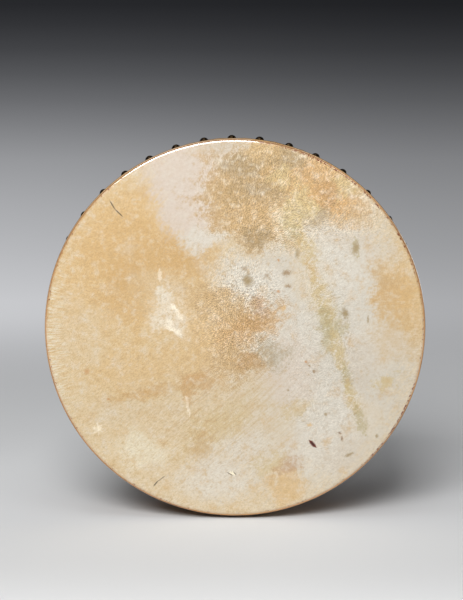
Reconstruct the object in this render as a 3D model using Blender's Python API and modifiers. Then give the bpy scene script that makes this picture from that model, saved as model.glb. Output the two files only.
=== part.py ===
"""A tacked frame drum: a bent wooden hoop, a rawhide head, domed tacks and a crossed grip.

Metres, +Z up. The drum stands on its rim with its head facing -Y. It is laid out around
the Z axis of the empty "drum_axis", with its head up and the hoop's front edge at Z = 0,
and that empty turns it up onto its rim.
"""

import math
import random

import bmesh
import bpy
from mathutils import Euler, Matrix

# Fits
GAP = 0.0003  # glue line, and the room around every piece that is set into another
CUTTER_MARGIN = 0.001  # how far a cutter runs past the surface it cuts

# Hoop: one strip bent round, its ends planed to long feathers that lap over each other
HOOP_RADIUS = 0.2272
HOOP_WALL = 0.009
HOOP_DEPTH = 0.090
BEARING_ROUND = 0.0035  # outer front corner, where the skin turns down
INNER_CHAMFER = 0.002  # inner front corner, which keeps clear of the skin
BACK_ROUND = 0.002
SCARF_LENGTH = 0.080
SCARF_ANGLE = 225.0

# Skin: a rawhide disc drawn over the front of the hoop and down its side
SKIN_THICKNESS = 0.001
SKIN_HEM = 0.009  # from the row of tacks back to the trimmed hem

# Tacks that hold the skin, along the middle of the hoop's side. Angles run from +X up
# towards +Z, in degrees.
TACK_HEAD_RADIUS = 0.0054
TACK_DOME_HEIGHT = 0.0034
TACK_SHANK_RADIUS = 0.0009
TACK_SHANK_LENGTH = 0.0085
TACK_POINT_LENGTH = 0.003
TACK_WANDER = 0.0008  # how far a tack strays from the row
FIRST_TACK = 25.5
TOP_GAPS = (9.2, 10.4, 9.9, 9.6, 8.7, 9.2, 8.5, 8.5, 8.8, 8.8, 8.8, 8.7, 9.0, 8.8)
LEFT_TACKS = 12
RIGHT_TACKS = 11
FOOT_GAP = 8.9  # between the two lowest tacks, which the drum stands on

# Crossed grip bars, half-lapped where they meet and screwed through the hoop
BAR_WIDTH = 0.026
BAR_THICKNESS = 0.013
BAR_ROUND = 0.003
BAR_RECESS = 0.012  # from the hoop's back edge to the bars' back face

# Countersunk wood screws at the bar ends
SCREW_HEAD_RADIUS = 0.0036
SCREW_SHANK_RADIUS = 0.0018
SCREW_LENGTH = 0.030
SCREW_POINT_LENGTH = 0.006
SCREW_SLOT_WIDTH = 0.0009
SCREW_SLOT_DEPTH = 0.0008
SCREW_SINK = 0.0002  # below the hoop's surface

# Small tacks through the feathered ends of the hoop
LAP_HEAD_RADIUS = 0.0026
LAP_DOME_HEIGHT = 0.0010
LAP_SHANK_RADIUS = 0.0007
LAP_SHANK_LENGTH = 0.0065
LAP_POINT_LENGTH = 0.002
LAP_INSET = 0.15  # how far along the scarf they stand from each feather, as a share
LAP_STAGGER = 0.12  # how much further along it every second one stands
OUTER_LAP_TACKS = 3
INNER_LAP_TACKS = 4

# Fineness of the round shapes
RING_STEPS = 80
TACK_STEPS = 12
SMALL_STEPS = 8
HOLE_SIDES = 6

# Sizes that follow from those above
HOOP_INNER_RADIUS = HOOP_RADIUS - HOOP_WALL
SKIN_RADIUS = HOOP_RADIUS + GAP + SKIN_THICKNESS
FACE_HEIGHT = GAP + SKIN_THICKNESS  # playing face, above the hoop's front edge
TACK_ROW = -HOOP_DEPTH / 2
SKIN_SIDE = SKIN_HEM - TACK_ROW  # from the hoop's front edge down to the hem
BAR_MIDDLE = -HOOP_DEPTH + BAR_RECESS + BAR_THICKNESS / 2


def dome_radius(half_width, height):
    """Radius of the sphere that a cap of this size is cut from."""
    return (half_width**2 + height**2) / (2 * height)


TACK_DOME_RADIUS = dome_radius(TACK_HEAD_RADIUS, TACK_DOME_HEIGHT)
TACK_TIP_RADIUS = SKIN_RADIUS + GAP + TACK_DOME_HEIGHT
AXIS_HEIGHT = TACK_DOME_RADIUS + (TACK_TIP_RADIUS - TACK_DOME_RADIUS) * math.cos(
    math.radians(FOOT_GAP / 2)
)
AXIS_OFFSET = (FACE_HEIGHT - HOOP_DEPTH) / 2  # puts the middle of the depth at Y = 0


def clear_scene():
    for obj in list(bpy.data.objects):
        bpy.data.objects.remove(obj)


def new_collection(name):
    collection = bpy.data.collections.new(name)
    bpy.context.scene.collection.children.link(collection)
    return collection


def material(name, colour, roughness, metallic=0.0):
    made = bpy.data.materials.new(name)
    made.use_nodes = True
    shader = made.node_tree.nodes["Principled BSDF"]
    shader.inputs["Base Color"].default_value = (*colour, 1.0)
    shader.inputs["Roughness"].default_value = roughness
    shader.inputs["Metallic"].default_value = metallic
    return made


def add_object(name, mesh, collection, parent, surface=None):
    obj = bpy.data.objects.new(name, mesh)
    collection.objects.link(obj)
    obj.parent = parent
    if surface and not mesh.materials:
        mesh.materials.append(surface)
    return obj


def move_to(obj, collection):
    for owner in list(obj.users_collection):
        owner.objects.unlink(obj)
    collection.objects.link(obj)


def as_cutter(obj):
    obj.hide_render = True
    obj.display_type = "WIRE"
    return obj


def boolean(obj, cutter, operation="DIFFERENCE"):
    modifier = obj.modifiers.new(cutter.name, "BOOLEAN")
    modifier.operation = operation
    modifier.solver = "EXACT"
    modifier.object = cutter


def arc(centre, radius, start, end, steps):
    """Points on an arc in the profile plane, from one angle to another, in degrees."""
    points = []
    for step in range(steps + 1):
        angle = math.radians(start + (end - start) * step / steps)
        points.append((centre[0] + radius * math.cos(angle), centre[1] + radius * math.sin(angle)))
    return points


def dome(half_width, height, steps):
    """Profile of a domed head, from its top down to its edge at height 0."""
    radius = dome_radius(half_width, height)
    edge = math.degrees(math.asin((radius - height) / radius))
    points = arc((0, height - radius), radius, 90, edge, steps)
    return [(0, height), *points[1:-1], (half_width, 0)]


def profile_mesh(name, points, closed):
    """A chain of edges in the XZ plane. It runs down the outer side."""
    mesh = bpy.data.meshes.new(name)
    form = bmesh.new()
    corners = [form.verts.new((x, 0, z)) for x, z in points]
    for first, second in zip(corners, corners[1:]):
        form.edges.new((first, second))
    if closed:
        form.edges.new((corners[-1], corners[0]))
    form.to_mesh(mesh)
    form.free()
    return mesh


def turn(obj, steps):
    """Turns an object's profile about its own Z axis."""
    screw = obj.modifiers.new("turned", "SCREW")
    screw.steps = screw.render_steps = steps
    screw.use_smooth_shade = True
    screw.use_merge_vertices = True
    screw.merge_threshold = 0.00001
    return obj


def radial_place(angle, radius, height, outward=True):
    """Location and rotation of a piece on the rim whose own Z runs along the radius."""
    turned = math.radians(angle)
    location = (radius * math.cos(turned), radius * math.sin(turned), height)
    tilt = math.pi / 2 if outward else -math.pi / 2
    return location, (0, tilt, turned)


def place(obj, location, rotation):
    obj.location = location
    obj.rotation_euler = rotation
    return obj


def hole_cutter(name, places, radius, depth, cutters, parent):
    """One cutter with a six-sided hole at each place, from just outside it to a depth."""
    mesh = bpy.data.meshes.new(name)
    form = bmesh.new()
    for location, rotation in places:
        to_rim = Matrix.LocRotScale(location, Euler(rotation), None)
        made = bmesh.ops.create_cone(
            form,
            cap_ends=True,
            segments=HOLE_SIDES,
            radius1=radius / math.cos(math.pi / HOLE_SIDES),
            radius2=radius / math.cos(math.pi / HOLE_SIDES),
            depth=depth + CUTTER_MARGIN,
        )
        for corner in made["verts"]:
            corner.co.z += (CUTTER_MARGIN - depth) / 2
            corner.co = to_rim @ corner.co
    form.to_mesh(mesh)
    form.free()
    return as_cutter(add_object(name, mesh, cutters, parent))


def evenly(start, end, count):
    """Angles of this many pieces between two others, with the same gap all along."""
    return [start + (end - start) * (i + 1) / (count + 1) for i in range(count)]


def tack_angles():
    over_top = [FIRST_TACK + sum(TOP_GAPS[:i]) for i in range(len(TOP_GAPS) + 1)]
    left_foot = 270 - FOOT_GAP / 2
    right_foot = 270 + FOOT_GAP / 2
    down_left = evenly(over_top[-1], left_foot, LEFT_TACKS)
    up_right = evenly(right_foot, over_top[0] + 360, RIGHT_TACKS)
    return [*over_top, *down_left, left_foot, right_foot, *up_right]


def tack_places():
    wander = random.Random(11)
    return [
        radial_place(angle, SKIN_RADIUS + GAP, TACK_ROW + wander.uniform(-TACK_WANDER, TACK_WANDER))
        for angle in tack_angles()
    ]


def scarf_angle_at(share):
    """Angle round the hoop of a point on the scarf: 0 is the inner feather, 1 the outer."""
    middle_radius = HOOP_RADIUS - HOOP_WALL / 2
    return SCARF_ANGLE + math.degrees((share - 0.5) * SCARF_LENGTH / middle_radius)


def lap_tack_places():
    """Places of the outer and the inner lap tacks, the outer ones behind the hem."""
    clear = LAP_HEAD_RADIUS + BACK_ROUND
    outer_heights = evenly(-SKIN_SIDE, -HOOP_DEPTH + clear, OUTER_LAP_TACKS)
    inner_heights = evenly(0, -HOOP_DEPTH, INNER_LAP_TACKS)
    outer = []
    for number, height in enumerate(outer_heights):
        angle = scarf_angle_at(1 - LAP_INSET - LAP_STAGGER * (number % 2))
        outer.append(radial_place(angle, HOOP_RADIUS + GAP, height))
    inner = []
    for number, height in enumerate(inner_heights):
        angle = scarf_angle_at(LAP_INSET + LAP_STAGGER * (number % 2))
        inner.append(radial_place(angle, HOOP_INNER_RADIUS - GAP, height, outward=False))
    return outer, inner


def screw_places():
    radius = HOOP_RADIUS - SCREW_SINK
    return [radial_place(angle, radius, BAR_MIDDLE) for angle in (0, 90, 180, 270)]


def scarf_cutter(cutters, parent):
    """A thin sheet that crosses the wall from its inner to its outer face."""
    overrun = CUTTER_MARGIN / HOOP_WALL
    steps = 12
    mesh = bpy.data.meshes.new("scarf_cut")
    form = bmesh.new()
    corners = []
    for step in range(steps + 1):
        share = -overrun + (1 + 2 * overrun) * step / steps
        angle = math.radians(scarf_angle_at(share))
        radius = HOOP_INNER_RADIUS + share * HOOP_WALL
        point = (radius * math.cos(angle), radius * math.sin(angle), -HOOP_DEPTH - CUTTER_MARGIN)
        corners.append(form.verts.new(point))
    chain = [form.edges.new(pair) for pair in zip(corners, corners[1:])]
    raised = bmesh.ops.extrude_edge_only(form, edges=chain)
    top = [item for item in raised["geom"] if isinstance(item, bmesh.types.BMVert)]
    bmesh.ops.translate(form, verts=top, vec=(0, 0, HOOP_DEPTH + 2 * CUTTER_MARGIN))
    form.to_mesh(mesh)
    form.free()
    cutter = as_cutter(add_object("scarf_cut", mesh, cutters, parent))
    wall = cutter.modifiers.new("wall", "SOLIDIFY")
    wall.thickness = GAP
    wall.offset = 0
    return cutter


def make_hoop(parts, parent, surface):
    points = [
        *arc((HOOP_RADIUS - BEARING_ROUND, -BEARING_ROUND), BEARING_ROUND, 90, 0, 3),
        *arc((HOOP_RADIUS - BACK_ROUND, BACK_ROUND - HOOP_DEPTH), BACK_ROUND, 0, -90, 2),
        *arc((HOOP_INNER_RADIUS + BACK_ROUND, BACK_ROUND - HOOP_DEPTH), BACK_ROUND, -90, -180, 2),
        (HOOP_INNER_RADIUS, -INNER_CHAMFER),
        (HOOP_INNER_RADIUS + INNER_CHAMFER, 0),
    ]
    mesh = profile_mesh("hoop", points, closed=True)
    return turn(add_object("hoop", mesh, parts, parent, surface), RING_STEPS)


def make_skin(parts, parent, surface):
    """A shallow cup whose corner turns round the hoop's bearing edge."""
    corner = (HOOP_RADIUS - BEARING_ROUND, -BEARING_ROUND)
    points = [
        (0, FACE_HEIGHT),
        *arc(corner, BEARING_ROUND + FACE_HEIGHT, 90, 0, 3),
        (SKIN_RADIUS, -SKIN_SIDE),
        (SKIN_RADIUS - SKIN_THICKNESS, -SKIN_SIDE),
        *arc(corner, BEARING_ROUND + GAP, 0, 90, 3),
        (0, GAP),
    ]
    mesh = profile_mesh("skin_head", points, closed=False)
    return turn(add_object("skin_head", mesh, parts, parent, surface), RING_STEPS)


def nail_mesh(name, head_radius, dome_height, shank_radius, length, point_length, dome_steps):
    points = [
        *dome(head_radius, dome_height, dome_steps),
        (shank_radius, 0),
        (shank_radius, point_length - length),
        (0, -length),
    ]
    return profile_mesh(name, points, closed=False)


def make_tacks(parts, parent, surface):
    mesh = nail_mesh(
        "tack",
        TACK_HEAD_RADIUS,
        TACK_DOME_HEIGHT,
        TACK_SHANK_RADIUS,
        TACK_SHANK_LENGTH,
        TACK_POINT_LENGTH,
        dome_steps=3,
    )
    for number, where in enumerate(tack_places(), start=1):
        tack = add_object(f"tack_{number:02d}", mesh, parts, parent, surface)
        turn(place(tack, *where), TACK_STEPS)


def make_lap_tacks(parts, parent, surface):
    mesh = nail_mesh(
        "lap_tack",
        LAP_HEAD_RADIUS,
        LAP_DOME_HEIGHT,
        LAP_SHANK_RADIUS,
        LAP_SHANK_LENGTH,
        LAP_POINT_LENGTH,
        dome_steps=2,
    )
    for side, places in zip(("outer", "inner"), lap_tack_places()):
        for number, where in enumerate(places, start=1):
            tack = add_object(f"lap_tack_{side}_{number}", mesh, parts, parent, surface)
            turn(place(tack, *where), SMALL_STEPS)


def cut_tack_holes(hoop, skin, cutters, parent):
    reach = TACK_SHANK_LENGTH + GAP
    radius = TACK_SHANK_RADIUS + GAP
    cutter = hole_cutter("tack_holes", tack_places(), radius, reach, cutters, parent)
    boolean(hoop, cutter)
    boolean(skin, cutter)


def cut_lap_holes(hoop, cutters, parent):
    outer, inner = lap_tack_places()
    reach = LAP_SHANK_LENGTH + GAP
    radius = LAP_SHANK_RADIUS + GAP
    boolean(hoop, hole_cutter("lap_holes", outer + inner, radius, reach, cutters, parent))


def half_lap_cutter(name, front_half, cutters, parent):
    """A box as wide as the other bar, over the front or the back half of this one."""
    bpy.ops.mesh.primitive_cube_add(size=1)
    cutter = bpy.context.object
    cutter.name = name
    width = BAR_WIDTH + 2 * GAP
    height = BAR_THICKNESS / 2 + GAP / 2 + CUTTER_MARGIN
    middle = (BAR_THICKNESS / 2 + CUTTER_MARGIN) - height / 2
    cutter.dimensions = (width, width + 2 * CUTTER_MARGIN, height)
    cutter.location = (0, 0, BAR_MIDDLE + (middle if front_half else -middle))
    cutter.parent = parent
    move_to(cutter, cutters)
    return as_cutter(cutter)


def bar_end_cutter(cutters, parent):
    """What the hoop leaves open, less the glue line: a bar is trimmed to it.

    RING_STEPS is a multiple of 4, so its corners line up with the hoop's.
    """
    bpy.ops.mesh.primitive_cylinder_add(
        vertices=RING_STEPS, radius=HOOP_INNER_RADIUS - GAP, depth=HOOP_DEPTH
    )
    cutter = bpy.context.object
    cutter.name = "hoop_inside"
    cutter.location = (0, 0, -HOOP_DEPTH / 2)
    cutter.parent = parent
    move_to(cutter, cutters)
    return as_cutter(cutter)


def make_bar(name, quarter_turns, notch_front, ends, parts, cutters, parent, surface):
    bpy.ops.mesh.primitive_cube_add(size=1)
    bar = bpy.context.object
    bar.name = name
    bar.scale = (2 * HOOP_RADIUS, BAR_WIDTH, BAR_THICKNESS)
    bpy.ops.object.transform_apply(location=False, rotation=False, scale=True)
    bar.location = (0, 0, BAR_MIDDLE)
    bar.rotation_euler = (0, 0, quarter_turns * math.pi / 2)
    bar.parent = parent
    bar.data.materials.append(surface)
    move_to(bar, parts)
    rounding = bar.modifiers.new("edges", "BEVEL")
    rounding.width = BAR_ROUND
    rounding.segments = 2
    boolean(bar, ends, "INTERSECT")
    notch = half_lap_cutter(f"{name}_notch", notch_front, cutters, parent)
    notch.rotation_euler = (0, 0, quarter_turns * math.pi / 2)
    boolean(bar, notch)
    return bar


def screw_profile(room, top):
    """Countersunk head, shank and point of a wood screw, grown by some room."""
    head = SCREW_HEAD_RADIUS + room
    shank = SCREW_SHANK_RADIUS + room
    cone = SCREW_HEAD_RADIUS - SCREW_SHANK_RADIUS
    return [
        (0, top),
        (head, top),
        (head, -room),
        (shank, -room - cone),
        (shank, SCREW_POINT_LENGTH - SCREW_LENGTH - room),
        (0, -SCREW_LENGTH - room),
    ]


def slot_cutter(where, number, cutters, parent):
    bpy.ops.mesh.primitive_cube_add(size=1)
    cutter = bpy.context.object
    cutter.name = f"screw_slot_{number}"
    height = SCREW_SLOT_DEPTH + CUTTER_MARGIN
    for corner in cutter.data.vertices:
        corner.co.x *= SCREW_SLOT_WIDTH
        corner.co.y *= 2 * SCREW_HEAD_RADIUS + CUTTER_MARGIN
        corner.co.z = corner.co.z * height + height / 2 - SCREW_SLOT_DEPTH
    place(cutter, *where)
    cutter.parent = parent
    move_to(cutter, cutters)
    return as_cutter(cutter)


def make_screws(hoop, bars, parts, cutters, parent, surface):
    """A screw through each bar end. Bars are in the order of the screws' angles."""
    mesh = profile_mesh("bar_screw", screw_profile(0, 0), closed=False)
    hole_mesh = profile_mesh("screw_hole", screw_profile(GAP, CUTTER_MARGIN), closed=False)
    names = ("right", "top", "left", "bottom")
    for number, (where, bar) in enumerate(zip(screw_places(), bars), start=1):
        hole = add_object(f"screw_hole_{number}", hole_mesh, cutters, parent)
        as_cutter(turn(place(hole, *where), TACK_STEPS))
        boolean(hoop, hole)
        boolean(bar, hole)
        screw = add_object(f"bar_screw_{names[number - 1]}", mesh, parts, parent, surface)
        turn(place(screw, *where), TACK_STEPS)
        boolean(screw, slot_cutter(where, number, cutters, parent))


def main():
    clear_scene()
    parts = new_collection("frame_drum")
    cutters = new_collection("cutters")
    rawhide = material("rawhide", (0.72, 0.55, 0.34), 0.55)
    hoop_wood = material("hoop_wood", (0.36, 0.19, 0.08), 0.5)
    bar_wood = material("bar_wood", (0.42, 0.25, 0.12), 0.55)
    dark_brass = material("dark_brass", (0.10, 0.075, 0.045), 0.25, metallic=1.0)
    screw_steel = material("screw_steel", (0.35, 0.34, 0.32), 0.4, metallic=1.0)
    copper = material("copper", (0.42, 0.20, 0.12), 0.4, metallic=1.0)

    axis = bpy.data.objects.new("drum_axis", None)
    parts.objects.link(axis)
    axis.location = (0, AXIS_OFFSET, AXIS_HEIGHT)
    axis.rotation_euler = (math.pi / 2, 0, 0)

    hoop = make_hoop(parts, axis, hoop_wood)
    skin = make_skin(parts, axis, rawhide)
    boolean(hoop, scarf_cutter(cutters, axis))
    make_tacks(parts, axis, dark_brass)
    cut_tack_holes(hoop, skin, cutters, axis)
    make_lap_tacks(parts, axis, copper)
    cut_lap_holes(hoop, cutters, axis)

    ends = bar_end_cutter(cutters, axis)
    across = make_bar("grip_bar_across", 0, False, ends, parts, cutters, axis, bar_wood)
    upright = make_bar("grip_bar_upright", 1, True, ends, parts, cutters, axis, bar_wood)
    bars = (across, upright, across, upright)
    make_screws(hoop, bars, parts, cutters, axis, screw_steel)


main()
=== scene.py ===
"""A tacked frame drum standing on a pale floor.

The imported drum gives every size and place. Each of its pieces is modelled again here in
finer form: the rawhide head, the domed tacks, the bent hoop, the crossed grip bars, their
screws and the small tacks of the hoop's lap.
"""

import math
import random

import bmesh
import bpy
from mathutils import Matrix, Vector


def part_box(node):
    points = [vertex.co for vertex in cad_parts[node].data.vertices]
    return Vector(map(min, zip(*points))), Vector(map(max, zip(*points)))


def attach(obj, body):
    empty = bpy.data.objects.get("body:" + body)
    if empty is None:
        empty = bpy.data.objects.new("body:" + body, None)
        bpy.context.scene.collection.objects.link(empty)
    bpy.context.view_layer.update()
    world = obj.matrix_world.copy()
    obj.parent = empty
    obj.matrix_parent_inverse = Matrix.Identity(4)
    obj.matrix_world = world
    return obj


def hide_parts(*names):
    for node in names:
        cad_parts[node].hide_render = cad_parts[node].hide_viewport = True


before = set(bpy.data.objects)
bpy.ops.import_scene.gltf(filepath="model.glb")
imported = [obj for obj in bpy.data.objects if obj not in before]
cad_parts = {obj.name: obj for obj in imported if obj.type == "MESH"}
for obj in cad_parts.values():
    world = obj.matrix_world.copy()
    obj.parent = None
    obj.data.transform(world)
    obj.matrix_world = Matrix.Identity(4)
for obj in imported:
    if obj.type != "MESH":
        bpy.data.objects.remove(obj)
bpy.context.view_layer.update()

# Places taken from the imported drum. The drum's axis runs along Y, its face looks to -Y.
HEAD_LOW, HEAD_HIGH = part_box("skin_head")
HOOP_LOW, HOOP_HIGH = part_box("hoop")
AXIS = Vector((0, 0, (HEAD_LOW.z + HEAD_HIGH.z) / 2))
HEAD_RADIUS = (HEAD_HIGH.x - HEAD_LOW.x) / 2
FACE = HEAD_LOW.y
HEM = HEAD_HIGH.y
HOOP_RADIUS = (HOOP_HIGH.x - HOOP_LOW.x) / 2
HOOP_FRONT = HOOP_LOW.y
HOOP_BACK = HOOP_HIGH.y

# Rawhide
SKIN_THICKNESS = 0.001
EDGE_ROUND = 0.0048  # outside radius where the skin turns over the rim
EDGE_STEPS = 8
FACE_RINGS = 56
SIDE_RINGS = 16
SKIN_SEGMENTS = 240
DIMPLE = 0.0005  # how far the skin is pressed in by a tack
GATHER = 0.0006  # how far it stands out between two tacks
HEM_WANDER = 0.0011  # how far the trimmed hem strays
CREASE_ANGLE = 60  # edges sharper than this, in degrees, stay sharp on the skin

# Hoop: one strip bent round, its feathered ends lapped over each other
HOOP_WALL = 0.009
HOOP_INSIDE = HOOP_RADIUS - HOOP_WALL
HOOP_SEGMENTS = 240
BEARING_ROUND = 0.0035
BACK_ROUND = 0.002
SCARF_LENGTH = 0.080
SCARF_ANGLE = 225.0  # from +X up towards +Z, in degrees
GLUE_LINE = 0.0004
SCARF_STEPS = 12

# Tacks
TACK_RADIUS = 0.0054
TACK_HEIGHT = 0.0034
TACK_ROW = (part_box("tack_01")[0].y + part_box("tack_01")[1].y) / 2
LAP_TACK_RADIUS = 0.0026
LAP_TACK_HEIGHT = 0.0010

# Grip bars
BAR_ROUND = 0.003
BAR_STEPS = 30
BAR_FIT = 0.0003
BAR_WAIST = 0.92  # how far hands have worn the bars between the crossing and the hoop

# Screws
SCREW_HEAD = 0.0036
SCREW_SHANK = 0.0018
SCREW_LENGTH = 0.030
SCREW_SINK = 0.0002
SLOT_WIDTH = 0.0009
SLOT_DEPTH = 0.0008

# Backdrop and floor, one sheet
SWEEP_WIDTH = 26
SWEEP_LENGTH = 8.2
SWEEP_MIDDLE = -1.9
SWEEP_HEIGHT = 4
GRADE_HEIGHT = 1.2  # where the backdrop's grey reaches its darkest
# Painted light: the backdrop's glowing greys by height, from the floor up
GREYS_BY_HEIGHT = (
    (0.145, 184), (0.283, 168), (0.392, 152), (0.488, 127), (0.555, 107),
    (0.623, 87), (0.690, 68), (0.757, 52), (0.810, 41),
)

# Camera, as it stands to the middle of the face
CAMERA_DISTANCE = 1.714
CAMERA_RISE = 7.91  # degrees above the drum's own axis
CAMERA_PITCH = -6.700
CAMERA_YAW = -0.143
LENS = 85.9


# ---------------------------------------------------------------- node helpers


def feed(tree, node, inputs):
    """Fills a node's inputs. Each takes a value or another node's output."""
    for key, value in inputs.items():
        if isinstance(value, bpy.types.NodeSocket):
            tree.links.new(value, node.inputs[key])
        else:
            node.inputs[key].default_value = value
    return node


def put(tree, kind, inputs=None, **settings):
    """A new node with these settings and inputs."""
    made = tree.nodes.new("ShaderNode" + kind)
    for name, value in settings.items():
        setattr(made, name, value)
    return feed(tree, made, inputs or {})


def maths(tree, operation, first, second=0.0, third=0.0):
    return put(tree, "Math", {0: first, 1: second, 2: third}, operation=operation).outputs[0]


def vector_maths(tree, operation, first, second=(0, 0, 0)):
    made = put(tree, "VectorMath", {0: first, 1: second}, operation=operation)
    return made.outputs["Value" if operation in ("LENGTH", "DOT_PRODUCT") else "Vector"]


def noise(tree, vector, scale, detail=3.0, roughness=0.55, distortion=0.0):
    inputs = {
        "Vector": vector,
        "Scale": scale,
        "Detail": detail,
        "Roughness": roughness,
        "Distortion": distortion,
    }
    return put(tree, "TexNoise", inputs)


def ramp_between(tree, value, low, high, to_low=0.0, to_high=1.0):
    """Value from low to high, carried smoothly over to the other pair."""
    inputs = {0: value, 1: low, 2: high, 3: to_low, 4: to_high}
    made = put(tree, "MapRange", inputs, interpolation_type="SMOOTHSTEP", clamp=False)
    return made.outputs[0]


def mix(tree, share, under, over, blend="MIX"):
    made = put(tree, "Mix", {0: share, 6: under, 7: over}, data_type="RGBA", blend_type=blend)
    return made.outputs[2]


def colour(red, green, blue):
    """A paint from its 0 to 255 values."""
    linear = [
        part / 12.92 if part <= 0.04045 else ((part + 0.055) / 1.055) ** 2.4
        for part in (red / 255, green / 255, blue / 255)
    ]
    return (*linear, 1.0)


def new_group(name, takes, gives):
    """A shader node group. takes and gives list socket names with their kinds."""
    group = bpy.data.node_groups.new(name, "ShaderNodeTree")
    for socket, kind, value in takes:
        made = group.interface.new_socket(
            socket, in_out="INPUT", socket_type="NodeSocket" + kind
        )
        if value is not None:
            made.default_value = value
    for socket, kind in gives:
        group.interface.new_socket(socket, in_out="OUTPUT", socket_type="NodeSocket" + kind)
    return group, group.nodes.new("NodeGroupInput"), group.nodes.new("NodeGroupOutput")


def use(tree, group, inputs):
    made = tree.nodes.new("ShaderNodeGroup")
    made.node_tree = group
    return feed(tree, made, inputs)


def new_material(name, roughness=0.5, metallic=0.0):
    made = bpy.data.materials.new(name)
    made.use_nodes = True
    shader = made.node_tree.nodes["Principled BSDF"]
    shader.inputs["Roughness"].default_value = roughness
    shader.inputs["Metallic"].default_value = metallic
    return made, made.node_tree, shader


def object_coordinates(tree):
    return put(tree, "TexCoord").outputs["Object"]


def bump(tree, shader, height, strength, distance):
    made = put(tree, "Bump", {"Height": height, "Strength": strength, "Distance": distance})
    tree.links.new(made.outputs[0], shader.inputs["Normal"])
    return made


# ---------------------------------------------------------------- shared effects


def blotch_group():
    """A soft-edged oval stain. Fray eats into its edge where it is above 0."""
    group, taken, given = new_group(
        "blotch",
        [
            ("Place", "Vector", None),
            ("Middle", "Vector", None),
            ("Half size", "Vector", (0.05, 0.05, 1)),
            ("Turn", "Float", 0.0),
            ("Softness", "Float", 0.5),
            ("Fray", "Float", 0.0),
        ],
        [("Mask", "Float")],
    )
    away = vector_maths(group, "SUBTRACT", taken.outputs["Place"], taken.outputs["Middle"])
    back = maths(group, "MULTIPLY", taken.outputs["Turn"], -1.0)
    turned = put(
        group, "VectorRotate", {"Vector": away, "Angle": back}, rotation_type="Z_AXIS"
    ).outputs[0]
    scaled = vector_maths(group, "DIVIDE", turned, taken.outputs["Half size"])
    reach = maths(
        group, "ADD", vector_maths(group, "LENGTH", scaled), taken.outputs["Fray"]
    )
    outer = maths(group, "ADD", 1.0, taken.outputs["Softness"])
    inner = maths(group, "SUBTRACT", 1.0, taken.outputs["Softness"])
    mask = ramp_between(group, reach, outer, inner)
    group.links.new(mask, given.inputs["Mask"])
    return group


def stroke_group():
    """A thin straight mark from one point to another, soft-sided and tapered to its ends."""
    group, taken, given = new_group(
        "stroke",
        [
            ("Place", "Vector", None),
            ("From", "Vector", None),
            ("To", "Vector", (0.01, 0, 0)),
            ("Width", "Float", 0.001),
        ],
        [("Mask", "Float")],
    )
    away = vector_maths(group, "SUBTRACT", taken.outputs["Place"], taken.outputs["From"])
    run = vector_maths(group, "SUBTRACT", taken.outputs["To"], taken.outputs["From"])
    along = vector_maths(group, "DOT_PRODUCT", away, run)
    length = vector_maths(group, "DOT_PRODUCT", run, run)
    share = maths(group, "DIVIDE", along, length)
    share = maths(group, "MAXIMUM", maths(group, "MINIMUM", share, 1.0), 0.0)
    nearest = put(group, "VectorMath", {0: run, "Scale": share}, operation="SCALE").outputs[0]
    reach = vector_maths(group, "LENGTH", vector_maths(group, "SUBTRACT", away, nearest))
    middle = maths(group, "ABSOLUTE", maths(group, "SUBTRACT", share, 0.5))
    thin = ramp_between(group, middle, 0.5, 0.2, 0.25, 1.0)
    half = maths(group, "MULTIPLY", taken.outputs["Width"], thin)
    mask = ramp_between(group, reach, half, maths(group, "MULTIPLY", half, 0.3))
    group.links.new(mask, given.inputs["Mask"])
    return group


def speck_group():
    """Small scattered specks of uneven size."""
    group, taken, given = new_group(
        "specks",
        [
            ("Place", "Vector", None),
            ("Scale", "Float", 200.0),
            ("Size", "Float", 0.3),
            ("Share", "Float", 0.2),
        ],
        [("Mask", "Float")],
    )
    cells = put(
        group, "TexVoronoi", {"Vector": taken.outputs["Place"], "Scale": taken.outputs["Scale"]}
    )
    parts = put(group, "SeparateColor", {0: cells.outputs["Color"]})
    chosen = maths(group, "LESS_THAN", parts.outputs[0], taken.outputs["Share"])
    size = maths(group, "MULTIPLY", taken.outputs["Size"], parts.outputs[1])
    mask = ramp_between(group, cells.outputs["Distance"], size, maths(group, "MULTIPLY", size, 0.4))
    group.links.new(maths(group, "MULTIPLY", mask, chosen), given.inputs["Mask"])
    return group


def grain_group():
    """Long wood grain. Along runs with the fibres, Across and Through cross them."""
    group, taken, given = new_group(
        "wood grain",
        [
            ("Along", "Float", 0.0),
            ("Across", "Float", 0.0),
            ("Through", "Float", 0.0),
            ("Rings", "Float", 260.0),
        ],
        [("Rings", "Float"), ("Pores", "Float"), ("Shade", "Float")],
    )
    slow = maths(group, "MULTIPLY", taken.outputs["Along"], 0.06)
    place = put(
        group,
        "CombineXYZ",
        {0: slow, 1: taken.outputs["Across"], 2: taken.outputs["Through"]},
    ).outputs[0]
    drift = noise(group, place, 22.0, 2.0).outputs[0]
    bend = maths(group, "MULTIPLY", drift, 0.030)
    shifted = maths(group, "ADD", taken.outputs["Across"], bend)
    depth = maths(group, "MULTIPLY", taken.outputs["Through"], 0.6)
    turns = maths(
        group, "MULTIPLY", maths(group, "ADD", shifted, depth), taken.outputs["Rings"]
    )
    wave = maths(group, "FRACT", turns)
    late = ramp_between(group, wave, 0.35, 1.0)
    group.links.new(late, given.inputs["Rings"])
    fine = put(
        group,
        "CombineXYZ",
        {
            0: maths(group, "MULTIPLY", taken.outputs["Along"], 0.05),
            1: taken.outputs["Across"],
            2: taken.outputs["Through"],
        },
    ).outputs[0]
    pores = ramp_between(group, noise(group, fine, 1500.0, 2.0).outputs[0], 0.56, 0.68)
    group.links.new(pores, given.inputs["Pores"])
    shade = noise(group, place, 60.0, 3.0).outputs[0]
    group.links.new(shade, given.inputs["Shade"])
    return group


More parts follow.
